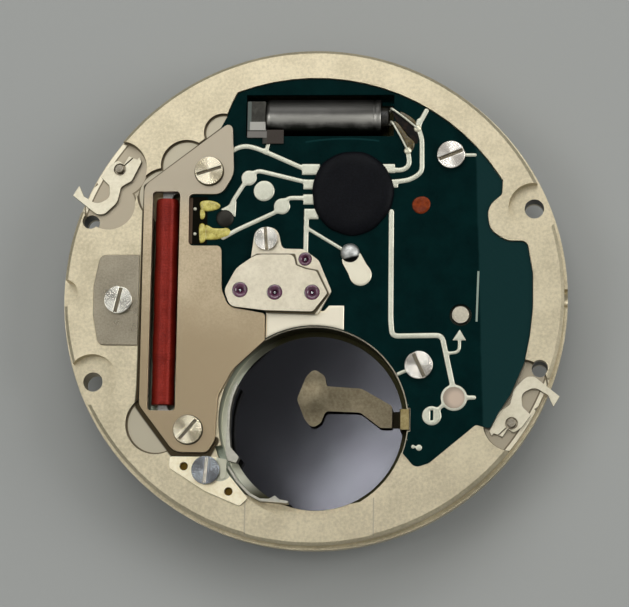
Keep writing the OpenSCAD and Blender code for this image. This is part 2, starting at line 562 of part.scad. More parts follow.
// Pockets that open towards the dial
module dial_side_cuts() {
    disc([0, 0], keeper_r + gap, -over, keeper_t);
    tube([0, 0], date_ring_d / 2 + 0.1, ring_recess_r, -over, ring_recess_h);
    disc(centre_at, tip_r(hour_teeth, mm) + 2 * gap, 0, hour_pocket_h);
    disc(centre_at, tip_r(cannon_leaves, mm) + 3 * gap, 0, web_lo);
    disc(minute_at, tip_r(minute_teeth, mm) + 2 * gap, 0, web_lo);
    disc(setting_at, tip_r(setting_teeth, mm) + 2 * gap, 0, web_lo);
    disc(idler_at, tip_r(idler_teeth, mm) + 2 * gap, 0, hour_pocket_h);
    disc(date_at, tip_r(date_teeth, mm) + 2 * gap, 0, hour_pocket_h);
    disc(date_at, finger_l + 2 * gap, 0, finger_z + finger_t + gap);
    // Keyless work
    translate([clutch_x - clutch_travel - 0.1, -clutch_r - 0.07, 0])
        cube([clutch_l + clutch_travel + 0.6, 2 * clutch_r + 0.14, stem_h + clutch_r + 0.07]);
    slab(rounded(lever_pocket), 0, lever_room);
    slab(rounded(yoke_pocket), 0, lever_room);
    translate([clutch_x + clutch_l + 0.45, 0, stem_h]) rotate([0, 90, 0]) cylinder(h = 6, r = stem_hole_d / 2);
    // The date jumper
    slab(rounded(jumper_pocket), 0, ring_recess_h + gap);
    for (at = keeper_screw_at) disc(at, keeper_shank_r + 0.02, 0, 0.75);
}

module main_plate() color([0.8, 0.76, 0.68]) {
    difference() {
        plate_blank();
        battery_side_cuts();
        dial_side_cuts();
    }
    // Pillar that carries the train bridge
    tube(bridge_screw_at, pillar_r, shank_hole_r, bridge_step - 1.25, board_top);
}

// A jewel with its bore and an oil sink on its outer side
module jewel(at, r, lo, hi, up) difference() {
    disc(at, r, lo, hi);
    disc(at, pivot_r + pivot_play, lo - over, hi + over);
    if (up) translate([at.x, at.y, hi - 0.08]) cylinder(h = 0.1, r1 = 0.12, r2 = 0.24);
}
module plate_jewels() color([0.45, 0.1, 0.25]) {
    jewel(rotor_at, jewel_r, 0.85, web_hi - 0.01, false);
    jewel(intermediate_at, jewel_r, 0.85, web_hi - 0.01, false);
    jewel(third_at, third_jewel_r, 0.85, web_hi - 0.01, false);
}
module bridge_jewels() color([0.35, 0.1, 0.25]) {
    for (at = [rotor_at, intermediate_at, centre_at]) jewel(at, jewel_r, bridge_lo + 0.1, movement_h, true);
    jewel(third_at, third_jewel_r, bridge_lo + 0.02, bridge_step, true);
}
module train_bridge() color([0.86, 0.83, 0.75]) difference() {
    union() {
        slab(rounded(bridge_low_outline), bridge_lo, bridge_step);
        slab(rounded(bridge_top_outline), bridge_lo, movement_h);
    }
    for (at = [rotor_at, intermediate_at, centre_at]) disc(at, jewel_r, 0, movement_h + over);
    disc(third_at, third_jewel_r, 0, movement_h + over);
    disc(third_at, 0.5, bridge_step, movement_h + over);
    screw_hole(bridge_screw_at, 0, movement_h);
}
module bridge_screw() color([0.85, 0.83, 0.78]) screw(bridge_screw_at, bridge_step, bridge_head_d, 95, 1.2);

module board_holes(lo, hi) {
    disc(well, well_r + 0.06, lo, hi);
    slab(rounded(board_window), lo, hi);
    disc(bridge_screw_at, pillar_r + gap, lo, hi);
    disc(lever_at, lever_stud_r + 0.13, lo, hi);
    for (at = concat(cover_screw_at, board_screw_at)) screw_hole(at, lo, hi);
    crystal_slot(lo, hi);
    translate([root_x - 0.5, root_y - 0.13, lo]) cube([1.05, root_w + 0.22, hi - lo]);
    slab(grown(rounded(slot_outline), 0.1), lo, hi);
}
module circuit_board() color([0.03, 0.16, 0.15]) difference() {
    slab(board_outline, board_lo, board_top);
    board_holes(board_lo - over, board_top + over);
}

// Outline of a copper track along a line of points, with its corners mitred
function strip(p, w) = let (n = len(p), way = [for (i = [0 : n - 2]) unit(p[i + 1] - p[i])],
    side = [for (i = [0 : n - 1]) let (b = way[min(n - 2, i)], m = unit(way[max(0, i - 1)] + b))
        w / 2 / (m * b) * [-m.y, m.x]])
    concat([for (i = [0 : n - 1]) p[i] + side[i]], [for (i = [n - 1 : -1 : 0]) p[i] - side[i]]);
module track(points, w) slab(strip(points, w), board_top, board_top + track_t);
module circuit_tracks() color([0.85, 0.85, 0.76]) {
    difference() {
        union() {
            for (line = track_lines) track(line, track_w);
            track([[2.05, 1.8], [2.45, 1.02]], 0.8);
            for (p = pads) disc(p, p.z, board_top, board_top + track_t);
            // Tinned land along the well, and the marks beside the contact
            slab([[-2.36, -0.9], [0.6, -0.9], [0.85, -0.62], [1.6, -0.62], [1.6, -2.2], [-2.36, -2.4]],
                board_top, board_top + track_t);
            slab([[4.54, -5.36], [4.93, -5.68], [4.6, -5.78]], board_top, board_top + track_t);
            slab([[4.7, -7.08], [4.9, -7.08], [4.9, -7.46], [4.64, -7.46]], board_top, board_top + track_t);
            disc([5.2, -7.8], 0.1, board_top, board_top + track_t);
            disc([5.5, -7.85], 0.16, board_top, board_top + track_t);
        }
        disc(well, well_r + 0.12, 0, 3);
        slab(rounded(board_window), 0, 3);
        translate([6.05, -6.45, 0]) cube([0.15, 0.5, 3]);
        translate([root_x - 0.5, root_y - 0.13, 0]) cube([1.05, root_w + 0.22, 3]);
        disc(chip_at, chip_d / 2, 0, 3);
        slab(rounded(bridge_low_outline), 0, 3);
        for (j = flux_joints) disc(j, j.z, 0, 3);
        for (p = solder_studs) disc(p, p.z, 0, 3);
        slab(rounded(cover_outline), 0, 3);
    }
}
// A dome of solder, as the cap of a ball that sinks into the board
module dome(p) translate([p.x, p.y, board_top - p.z / 2]) sphere(r = p.z * 1.118, $fn = 48);
module contact_studs() color([0.8, 0.8, 0.8]) for (p = solder_studs) difference() {
    dome(p);
    disc(p, 2, 0, board_top);
}
module chip_cover() color([0.02, 0.02, 0.02]) translate([chip_at.x, chip_at.y, board_top]) rotate_extrude()
    polygon([[0, 0], [chip_d / 2, 0], [chip_d / 2 - 0.03, chip_h * 0.35], [chip_d / 2 - 0.2, chip_h * 0.68],
    [chip_d / 2 - 0.7, chip_h * 0.9], [chip_d / 2 - 1.4, chip_h], [0, chip_h]]);
module lacquer_dot() color([0.75, 0.05, 0.05]) disc(dot_at, dot_r, board_top, board_top + 0.05);

// A round rod from one point to another
module rod(a, b, r) let (d = b - a, l = norm(d)) translate(a) rotate([0, acos(d.z / l), atan2(d.y, d.x)])
    cylinder(h = l, r = r, $fn = 24);
module crystal_can() color([0.8, 0.78, 0.72]) translate([crystal_x, crystal_y, crystal_z]) rotate([0, -90, 0]) {
    cylinder(h = crystal_l - 0.15, r = crystal_d / 2);
    translate([0, 0, crystal_l - 0.15]) cylinder(h = 0.15, r1 = crystal_d / 2, r2 = crystal_d / 2 - 0.15);
}
module crystal_base() color([0.2, 0.2, 0.18]) translate([crystal_x, crystal_y, crystal_z]) rotate([0, 90, 0])
    cylinder(h = crystal_base_l, r = 0.52);
module crystal_leads() color([0.85, 0.85, 0.82]) difference() {
    for (k = [[2, 0.35], [1, -0.35]]) let (p = solder_studs[k[0]],
        bend = [crystal_x + crystal_base_l + lead_r + 0.01, crystal_y + k[1], lead_z]) {
        rod([bend.x, bend.y, crystal_z], bend, lead_r);
        translate(bend) sphere(r = lead_r, $fn = 24);
        rod(bend, [p.x, p.y, lead_z], lead_r);
    }
    for (p = solder_studs) dome(p);
}
// The holder's block, its lip and the tab that runs beside the can
module crystal_holder() color([0.15, 0.14, 0.12]) translate([crystal_end - 0.01, crystal_y, 0]) {
    lip_z = board_top + track_t + 0.015;
    translate([-holder_l, 0.73 - 1.7, crystal_floor]) cube([holder_l, 1.7, 2.12 - crystal_floor]);
    translate([-holder_l, -1.2, lip_z]) cube([holder_l, 0.4, 2.12 - lip_z]);
    translate([-0.15, -1.52, lip_z]) cube([1.1, 0.75, 2.12 - lip_z]);
}

// The motor: wound coil on its core, the stator's sheet and the plate that covers them
module coil_core() color([0.7, 0.7, 0.7]) difference() {
    slab(rounded(core_outline), core_z, core_z + iron_t);
    for (at = cover_screw_at) screw_hole(at, 0, 3);
}
module coil_winding() color([0.5, 0.04, 0.04]) difference() {
    translate([coil_x, coil_hi, coil_z]) rotate([90, 0, 0]) cylinder(h = coil_l, r = coil_d / 2);
    translate([core_left, coil_y - coil_l, core_z]) cube([core_w, 2 * coil_l, iron_t]);
}
module coil_terminals() color([0.8, 0.7, 0.25])
    for (j = flux_joints) disc(j, j.z, board_top, board_top + j[3]);
module stator() color([0.55, 0.55, 0.53]) difference() {
    slab(rounded(stator_outline), stator_z, stator_z + iron_t);
    disc(rotor_at, magnet_d / 2 + magnet_gap, 0, 3);
    for (a = [60, 240]) disc(along(rotor_at, a, magnet_d / 2 + magnet_gap), 0.12, 0, 3);
    for (at = cover_screw_at) screw_hole(at, 0, 3);
}
module coil_cover() color([0.66, 0.62, 0.53]) difference() {
    slab(rounded(cover_outline), cover_z, cover_z + cover_t);
    slab(rounded(slot_outline), 0, 3);
    for (at = cover_screw_at) screw_hole(at, 0, 3);
}
module cover_screws() color([0.8, 0.77, 0.7]) {
    screw(cover_screw_at[0], cover_z + cover_t, screw_head_d, 17, 1.4);
    screw(cover_screw_at[1], cover_z + cover_t, screw_head_d, 50, 1.4);
}
module board_screws() color([0.85, 0.83, 0.78]) {
    screw(board_screw_at[0], board_top, screw_head_d, 22, 1.2);
    screw(board_screw_at[1], board_top, screw_head_d, 115, 1.2);
}
module side_plate() color([0.72, 0.69, 0.62]) difference() {
    slab(rounded(side_outline), cover_z, cover_z + side_plate_t);
    screw_hole(side_screw_at, 0, 3);
}
module side_plate_screw() color([0.85, 0.83, 0.78])
    screw(side_screw_at, cover_z + side_plate_t, screw_head_d, 77, 1.3);

// The well: insulating film, the leaf under the cell and the spring at its side
module well_insulator() color([0.12, 0.13, 0.16]) disc(well, well_r - gap, cell_web_h, film_top);
module negative_contact() color([0.8, 0.74, 0.6]) {
    slab(rounded(leaf_outline), leaf_z, leaf_z + leaf_t);
    translate([4.08 - leaf_t, -6.7, film_top + leaf_t + 0.02]) cube([leaf_t, 1, leaf_lift - 0.06]);
}
module contact_root() color([0.75, 0.68, 0.4]) {
    translate([root_x - 0.54, root_y + 0.2, film_top]) cube([0.54 + leaf_t, 0.85, leaf_t]);
    translate([root_x, root_y, film_top]) cube([leaf_t, root_w, board_top - 0.08 - film_top]);
    translate([root_x, root_y - 0.03, board_top - 0.08 - leaf_t]) cube([0.48, root_w + 0.05, leaf_t]);
}
module positive_bridle() color([0.9, 0.8, 0.5]) {
    difference() {
        slab(rounded(bridle_outline), bridle_z, bridle_z + bridle_t);
        screw_hole(bridle_screw_at, 0, 3);
        disc([-6.38, -8.91], 0.19, 0, 3);
        disc([-4.08, -10.17], 0.19, 0, 3);
    }
    difference() {
        slab(rounded(bridle_tab), bridle_z + bridle_t, bridle_z + bridle_t + 0.08);
        disc(bridle_screw_at, screw_head_d / 2 + gap, 0, 3);
    }
}
module side_spring() color([0.7, 0.7, 0.66]) slab(side_blade, blade_lo, blade_hi);
module end_spring() color([0.7, 0.7, 0.66]) slab(end_blade, blade_lo, blade_hi);
module bridle_screw() color([0.45, 0.5, 0.56])
    screw(bridle_screw_at, bridle_z + bridle_t, screw_head_d, 85, 1.3);

// An arbor with its two pivots
module arbor(at, r, lo, hi, top) {
    disc(at, r, lo, hi);
    disc(at, pivot_r, lo - 0.18, top);
}
module rotor_magnet() color([0.3, 0.3, 0.32]) tube(rotor_at, magnet_d / 2, arbor_r, magnet_lo, magnet_hi);
module rotor_pinion() color([0.8, 0.7, 0.4]) {
    arbor(rotor_at, arbor_r, web_hi + 0.02, bridge_lo + 0.06, movement_h - 0.12);
    gear(rotor_at, rotor_leaves, rotor_m, rotor_turn, 1.66, 1.79, 0.01);
}
module intermediate_wheel() color([0.85, 0.8, 0.7])
    wheel(intermediate_at, intermediate_teeth, rotor_m, intermediate_turn, intermediate_wheel_z,
        intermediate_wheel_z + wheel_t, arbor_r, 4);
module intermediate_pinion() color([0.8, 0.7, 0.4]) {
    arbor(intermediate_at, arbor_r, web_hi + 0.02, bridge_lo + 0.06, movement_h - 0.12);
    gear(intermediate_at, intermediate_leaves, second_m, 0, 1.5, 1.66, 0.01);
}
module second_wheel() color([0.85, 0.75, 0.45])
    wheel(centre_at, second_teeth, second_m, second_turn, second_wheel_z, second_wheel_z + wheel_t,
        seconds_seat_d / 2, 4);
module second_pinion() color([0.8, 0.78, 0.7]) {
    disc(centre_at, seconds_seat_d / 2, -seconds_reach, bridge_lo + 0.06);
    disc(centre_at, pivot_r, 1.9, movement_h - 0.12);
    gear(centre_at, second_leaves, third_m, 0, 1.34, 1.5, 0.01);
}
module third_wheel() color([0.85, 0.75, 0.45])
    wheel(third_at, third_teeth, third_m, third_turn, third_wheel_z, third_wheel_z + wheel_t, arbor_r, 4);
module third_pinion() color([0.8, 0.78, 0.7]) {
    arbor(third_at, arbor_r, web_hi + 0.02, bridge_lo - 0.02, bridge_step - 0.06);
    gear(third_at, third_leaves, centre_m, 0, 1.1, 1.35, 0.01);
}
module centre_wheel() color([0.85, 0.75, 0.45]) {
    wheel(centre_at, centre_teeth, centre_m, centre_turn, centre_wheel_z, centre_wheel_z + wheel_t, pipe_r, 4);
    tube(centre_at, pipe_r, pipe_bore_r, -minute_reach + 0.1, centre_wheel_z + wheel_t + 0.04);
}
module cannon_pinion() color([0.85, 0.78, 0.5]) {
    gear(centre_at, cannon_leaves, mm, 0, 0.38, 0.74, pipe_r);
    tube(centre_at, minute_seat_d / 2, pipe_r, -minute_reach, 0.4);
}

// Motion work under the dial
stud_bore = stud_r + 0.02;
module minute_wheel() color([0.85, 0.75, 0.45]) {
    wheel(minute_at, minute_teeth, mm, minute_turn, minute_wheel_z, minute_wheel_z + minute_wheel_t,
        stud_bore, 3);
    gear(minute_at, minute_leaves, mm, 0, 0.16, minute_wheel_z, stud_bore);
}
module hour_wheel() color([0.85, 0.75, 0.45]) {
    gear(centre_at, hour_teeth, mm, hour_turn, hour_wheel_z, hour_wheel_z + hour_wheel_t,
        minute_seat_d / 2 + 0.02);
    tube(centre_at, hour_seat_d / 2, minute_seat_d / 2 + 0.02, -hour_reach, -0.1);
    tube(centre_at, hour_shoulder_r, minute_seat_d / 2 + 0.02, -0.15, hour_wheel_z + 0.02);
}
module date_idler() color([0.85, 0.75, 0.45])
    wheel(idler_at, idler_teeth, mm, idler_turn, hour_wheel_z, hour_wheel_z + hour_wheel_t, stud_bore, 0);
module date_wheel() color([0.85, 0.75, 0.45])
    wheel(date_at, date_teeth, mm, date_turn, hour_wheel_z, hour_wheel_z + hour_wheel_t, stud_bore, 5);
module date_finger() color([0.7, 0.72, 0.75]) difference() {
    union() {
        disc(date_at, 0.5, finger_z, finger_z + finger_t);
        translate([date_at.x, date_at.y, finger_z]) rotate(finger_turn) translate([0, -0.14, 0])
            cube([finger_l, 0.28, finger_t]);
    }
    disc(date_at, stud_bore, 0, 1);
}
module setting_wheel() color([0.8, 0.8, 0.8]) {
    wheel(setting_at, setting_teeth, mm, setting_turn, minute_wheel_z, minute_wheel_z + minute_wheel_t,
        stud_bore, 0);
    tube(setting_at, 0.35, stud_bore, 0.16, minute_wheel_z);
}
module motion_work_studs() color([0.75, 0.75, 0.75]) {
    for (at = [minute_at, setting_at]) disc(at, stud_r, keeper_t, web_lo);
    for (at = [idler_at, date_at]) disc(at, stud_r, keeper_t, hour_pocket_h);
    disc(jumper_at, stud_r, keeper_t, ring_recess_h + gap);
    disc(yoke_at, stud_r, keeper_t, lever_room);
}
module date_ring() color([0.93, 0.93, 0.9]) difference() {
    disc([0, 0], date_ring_d / 2, ring_z, ring_z + date_ring_t);
    translate([0, 0, ring_z - over]) linear_extrude(1) polygon([for (i = [0 : date_days - 1])
        let (p = 360 / date_days) each [for (k = [[-0.14, ring_tooth_tip], [0.14, ring_tooth_tip], [0.3, ring_tooth_root],
        [0.7, ring_tooth_root]]) k[1] * [cos((i + k[0]) * p), sin((i + k[0]) * p)]]]);
}
module date_jumper() color([0.75, 0.76, 0.78]) difference() {
    slab(rounded(jumper_outline), ring_z, ring_z + date_ring_t);
    disc(jumper_at, stud_bore, 0, 1);
}
module date_keeper() color([0.78, 0.76, 0.7]) difference() {
    disc([0, 0], keeper_r, 0, keeper_t);
    disc([0, 0], hour_shoulder_r + 0.08, -over, 1);
    for (at = keeper_screw_at) {
        disc(at, keeper_shank_r + 0.02, -over, 1);
        disc(at, small_head_d / 2 + 0.02, -over, keeper_t / 2);
    }
}
module keeper_screws() color([0.8, 0.8, 0.8]) for (at = keeper_screw_at) difference() {
    union() {
        disc(at, small_head_d / 2, 0, keeper_t / 2);
        disc(at, keeper_shank_r, 0, 0.7);
    }
    translate([at.x - 1, at.y - 0.06, -over]) cube([2, 0.12, over + 0.03]);
}

// Keyless work round the stem's hole
module sliding_pinion() color([0.75, 0.75, 0.75]) translate([clutch_x, 0, stem_h]) rotate([0, 90, 0])
        difference() {
    cylinder(h = clutch_l, r = clutch_r);
    translate([0, 0, groove_x - clutch_x]) tube([0, 0], clutch_r + over, 0.38, 0, groove_w);
    translate([-0.21, -0.21, -over]) cube([0.42, 0.42, clutch_l + 2 * over]);
    for (i = [0 : 4]) rotate(i * 36) translate([-1, -0.07, -over]) cube([2, 0.14, over + 0.1]);
}
module setting_lever() color([0.72, 0.73, 0.75]) {
    slab(rounded(lever_outline), lever_z, lever_z + lever_t);
    disc(lever_at, lever_stud_r, lever_z, board_top + 0.08);
}
module yoke() color([0.72, 0.73, 0.75]) difference() {
    slab(rounded(yoke_outline), lever_z, lever_z + lever_t);
    disc(yoke_at, stud_bore, 0, 1);
}

// Dial-foot latches: the split head turns on its post and the hooked tail grips the foot
module latch() translate([latch_at.x, latch_at.y, latch_z]) difference() {
    linear_extrude(latch_t) polygon(rounded(latch_outline));
    translate([0, 0, -over]) cylinder(h = 1, r = latch_post_r + latch_play);
    rotate(43) translate([0, -0.03, -over]) cube([2, 0.05, 1]);
}
module left_latch() color([0.95, 0.94, 0.88]) latch();
module right_latch() color([0.95, 0.94, 0.88]) rotate(180) latch();
module latch_posts() color([0.7, 0.66, 0.6]) twice() disc(latch_at, latch_post_r, pocket_h, board_top + 0.02);

main_plate();
plate_jewels();
bridge_jewels();
train_bridge();
bridge_screw();
circuit_board();
circuit_tracks();
contact_studs();
chip_cover();
lacquer_dot();
crystal_can();
crystal_base();
crystal_leads();
crystal_holder();
coil_core();
coil_winding();
coil_terminals();
stator();
coil_cover();
cover_screws();
board_screws();
side_plate();
side_plate_screw();
well_insulator();
negative_contact();
contact_root();
positive_bridle();
side_spring();
end_spring();
bridle_screw();
rotor_magnet();
rotor_pinion();
intermediate_wheel();
intermediate_pinion();
second_wheel();
second_pinion();
third_wheel();
third_pinion();
centre_wheel();
cannon_pinion();
minute_wheel();
hour_wheel();
date_idler();
date_wheel();
date_finger();
setting_wheel();
motion_work_studs();
date_ring();
date_jumper();
date_keeper();
keeper_screws();
sliding_pinion();
setting_lever();
yoke();
left_latch();
right_latch();
latch_posts();
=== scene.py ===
"""Round quartz watch movement with three hands and a date, seen from its battery side.

Every piece is worked out in millimetres in the movement's own frame: the origin is the centre of the
movement in the plane of the dial seat, +Z points to the battery side and +X to the winding stem. Each
section below makes one piece or one group of like pieces, in the order in which a watchmaker fits them.
"""
import math
from functools import partialmethod, reduce

import bmesh
import bpy
import numpy as np
from mathutils import Matrix, Vector


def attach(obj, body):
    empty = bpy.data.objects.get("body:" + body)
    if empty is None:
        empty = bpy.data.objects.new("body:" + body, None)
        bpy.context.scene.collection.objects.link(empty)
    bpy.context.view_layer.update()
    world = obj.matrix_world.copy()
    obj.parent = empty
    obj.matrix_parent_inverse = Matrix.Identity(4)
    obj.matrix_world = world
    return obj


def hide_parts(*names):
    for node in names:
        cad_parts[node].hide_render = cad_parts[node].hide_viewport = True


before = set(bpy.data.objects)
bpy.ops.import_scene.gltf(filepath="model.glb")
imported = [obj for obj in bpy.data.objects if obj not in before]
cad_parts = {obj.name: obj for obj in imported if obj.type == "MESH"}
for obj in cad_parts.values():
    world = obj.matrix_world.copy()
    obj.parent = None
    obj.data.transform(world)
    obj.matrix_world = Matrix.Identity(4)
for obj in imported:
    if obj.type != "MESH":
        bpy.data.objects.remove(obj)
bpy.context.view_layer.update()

# MAIN PLATE. One brass disc, turned to two diameters, then milled with a pocket for every other piece and
# nickel plated. The plating follows a fine blasted grain, and handling has left it slightly blotchy.
MM = 0.001


class Amount:
    """A number that changes over a surface. Arithmetic on it adds the Math nodes that work it out."""

    def __init__(self, finish, socket):
        self.finish, self.socket = finish, socket

    def _math(self, operation, *others):
        return self.finish.node("ShaderNodeMath", {"operation": operation}, self, *others)

    def __rsub__(self, other):
        return self.finish.node("ShaderNodeMath", {"operation": "SUBTRACT"}, other, self)

    __add__ = __radd__ = partialmethod(_math, "ADD")
    __sub__ = partialmethod(_math, "SUBTRACT")
    __mul__ = __rmul__ = partialmethod(_math, "MULTIPLY")
    __truediv__ = partialmethod(_math, "DIVIDE")
    __pow__ = partialmethod(_math, "POWER")
    __abs__ = partialmethod(_math, "ABSOLUTE")
    sine = partialmethod(_math, "SINE")
    root = partialmethod(_math, "SQRT")
    least = partialmethod(_math, "MINIMUM")
    below = partialmethod(_math, "LESS_THAN")
    above = partialmethod(_math, "GREATER_THAN")

    def near(self, centre, half):
        """1 within half of the centre, else 0."""
        return abs(self - centre).below(half)

    def between(self, low, high):
        """0 at low, 1 at high, on a smooth step."""
        settings = {"interpolation_type": "SMOOTHSTEP"}
        return self.finish.node("ShaderNodeMapRange", settings, self, low, high, 0.0, 1.0)


class Finish:
    """One material: a Principled shader whose sockets are fed with plain values or Amounts."""

    def __init__(self, name, **sockets):
        self.material = bpy.data.materials.new(name)
        self.material.use_nodes = True
        self.tree = self.material.node_tree
        self.tree.nodes.clear()
        self.shader = self.tree.nodes.new("ShaderNodeBsdfPrincipled")
        ending = self.tree.nodes.new("ShaderNodeOutputMaterial")
        self.tree.links.new(self.shader.outputs[0], ending.inputs[0])
        self.place = self.node("ShaderNodeTexCoord", {}, output="Object")
        self.wear(**sockets)

    def feed(self, socket, value):
        if isinstance(value, Amount):
            self.tree.links.new(value.socket, socket)
        elif socket.type == "RGBA" and len(value) == 3:
            socket.default_value = (*value, 1.0)
        else:
            socket.default_value = value

    def node(self, kind, settings, *values, output=0, **named):
        """A node of this kind. Settings come first, then values for its sockets in order or by name."""
        made = self.tree.nodes.new(kind)
        for key, setting in settings.items():
            setattr(made, key, setting)
        for key, value in [*enumerate(values), *named.items()]:
            if value is not None:
                self.feed(made.inputs[key], value)
        return Amount(self, made.outputs[output])

    def wear(self, **sockets):
        """Sets the shader's sockets, with underscores for the spaces in their names."""
        for key, value in sockets.items():
            self.feed(self.shader.inputs[key.replace("_", " ")], value)

    def overlay(self, *layers):
        """Lays more colours over the base colour. Each layer is a mask and the colour where it is 1."""
        for mask, colour in layers:
            under = self.shader.inputs["Base Color"].links[0].from_socket
            self.wear(Base_Color=self.mix(mask, Amount(self, under), colour))

    def noise(self, size, detail=2.0, roughness=0.5, stretch=None):
        """Cloudy noise whose blotches are about size mm across, 0.5 on average."""
        place = self.place
        if stretch:
            place = self.node("ShaderNodeMapping", {}, place, Scale=stretch)
        return self.node("ShaderNodeTexNoise", {}, Vector=place, Scale=1 / (size * MM), Detail=detail,
                         Roughness=roughness)

    def along(self, axis):
        """Position along an axis in mm."""
        return self.node("ShaderNodeSeparateXYZ", {}, self.place, output=axis) / MM

    def round(self, x, y):
        """Distance in mm from the line that stands at x, y."""
        return ((self.along("X") - x) ** 2.0 + (self.along("Y") - y) ** 2.0).root()

    def beside_circles(self, *circles):
        """Distance in mm from the joint outline of circles, each x, y and radius, negative within it."""
        return reduce(Amount.least, [self.round(x, y) - radius for x, y, radius in circles])

    def beside(self, *points):
        """Distance in mm from the straight lines that join points of the plan."""
        gaps = []
        for start, end in zip(points, points[1:]):
            dx, dy = end[0] - start[0], end[1] - start[1]
            across, along = self.along("X") - start[0], self.along("Y") - start[1]
            part = self.node("ShaderNodeClamp", {}, (across * dx + along * dy) / (dx * dx + dy * dy))
            gaps.append(((across - part * dx) ** 2.0 + (along - part * dy) ** 2.0).root())
        return reduce(Amount.least, gaps)

    def mix(self, mask, low, high):
        """The colour low where mask is 0 and high where it is 1."""
        made = self.tree.nodes.new("ShaderNodeMix")
        made.data_type = "RGBA"
        for index, value in ((0, mask), (6, low), (7, high)):
            self.feed(made.inputs[index], value)
        return Amount(self, made.outputs[2])

    def relief(self, height, depth, below=None):
        """Bump of a height that runs from 0 to 1, depth mm deep."""
        return self.node("ShaderNodeBump", {}, Height=height, Distance=depth * MM, Strength=1.0, Normal=below)


def satin(name, colour, dark, roughness=0.36, grain=0.16, depth=0.004, blotch=1.8):
    """Blasted metal: grain mm across in fine relief, under wide soft blotches between two colours."""
    metal = Finish(name, Metallic=1.0)
    fine = metal.noise(grain, 4.0, 0.65)
    wide = metal.noise(blotch, 3.0, 0.6)
    tone = ((fine - 0.5) * 1.5 + (wide - 0.5) * 1.1 + 0.55).between(0.1, 0.95)
    metal.wear(Base_Color=metal.mix(tone, dark, colour), Roughness=roughness + (wide - 0.5) * 0.22,
               Normal=metal.relief(fine, depth))
    return metal


def placed(name, data):
    """An object of the scene that holds this mesh, lamp or camera."""
    made = bpy.data.objects.new(name, data)
    bpy.context.scene.collection.objects.link(made)
    return made


def softened(node, width, segments, bend=None):
    """A copy of a CAD node with its doubles merged, its flats made whole and every rim rounded by width mm. A
    point's normal is the mean of the flats it is on, so flats stay flat and only the rims turn the light. A
    piece that is bent is cut finer first, and then each point rises by bend(x, y) mm."""
    least_rim_angle, finest_edge, cuts = math.radians(32), 0.12 * MM, 4
    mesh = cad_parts[node].data.copy()
    mesh.materials.clear()
    work = bmesh.new()
    work.from_mesh(mesh)
    bmesh.ops.remove_doubles(work, verts=work.verts, dist=0.0005 * MM)
    bmesh.ops.dissolve_limit(work, angle_limit=math.radians(0.6), verts=work.verts, edges=work.edges,
                             use_dissolve_boundaries=False)
    rims = [edge for edge in work.edges if len(edge.link_faces) == 2 and edge.calc_face_angle(0) > least_rim_angle]
    turned_rims = set(bmesh.ops.bevel(work, geom=rims, offset=width * MM, segments=segments, profile=0.5,
                                      affect="EDGES", clamp_overlap=True)["faces"])
    for face in work.faces:
        face.material_index = int(face in turned_rims)
    bmesh.ops.triangulate(work, faces=[face for face in work.faces if bend or len(face.verts) > 4])
    for _ in range(cuts if bend else 0):
        longer = [edge for edge in work.edges if edge.calc_length() > finest_edge]
        bmesh.ops.subdivide_edges(work, edges=longer, cuts=1)
        bmesh.ops.triangulate(work, faces=[face for face in work.faces if len(face.verts) > 3])
    work.to_mesh(mesh)
    work.free()
    mesh.shade_smooth()
    faces, corners = len(mesh.polygons), len(mesh.loops)
    normal, area, rim = np.empty(faces * 3), np.empty(faces), np.empty(faces, int)
    size, corner = np.empty(faces, int), np.empty(corners, int)
    for values, key in ((normal, "normal"), (area, "area"), (rim, "material_index"), (size, "loop_total")):
        mesh.polygons.foreach_get(key, values)
    mesh.loops.foreach_get("vertex_index", corner)
    share = normal.reshape(-1, 3) * (area * np.where(rim == 1, 1e-6, 1.0))[:, None]
    lean = np.zeros((len(mesh.vertices), 3))
    np.add.at(lean, corner, np.repeat(share, size, axis=0))
    lean /= np.maximum(np.linalg.norm(lean, axis=1), 1e-30)[:, None]
    if bend:
        place = np.empty(len(mesh.vertices) * 3)
        mesh.vertices.foreach_get("co", place)
        place = place.reshape(-1, 3)
        x, y, step = place[:, 0] / MM, place[:, 1] / MM, 0.01
        slope = np.stack([bend(x + step, y) - bend(x - step, y), bend(x, y + step) - bend(x, y - step)], axis=1)
        lean[:, :2] -= lean[:, 2:] * slope / (2 * step)
        place[:, 2] += bend(x, y) * MM
        mesh.vertices.foreach_set("co", place.ravel())
    mesh.polygons.foreach_set("material_index", np.zeros(faces, int))
    mesh.normals_split_custom_set_from_vertices(lean)
    return placed(node + "_piece", mesh)


def fit(piece, finish, body, slot, *nodes):
    """Gives a piece its finish and its body, and hides the CAD nodes that it stands for, if any. slot is not used."""
    piece.data.materials.append(finish.material)
    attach(piece, body)
    if nodes:
        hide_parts(*nodes)


def soft_fit(node, width, segments, finish, body, slot, bend=None):
    """Fits the softened copy of one CAD node, its rims rounded by width mm, in the node's place."""
    fit(softened(node, width, segments, bend), finish, body, slot, node)


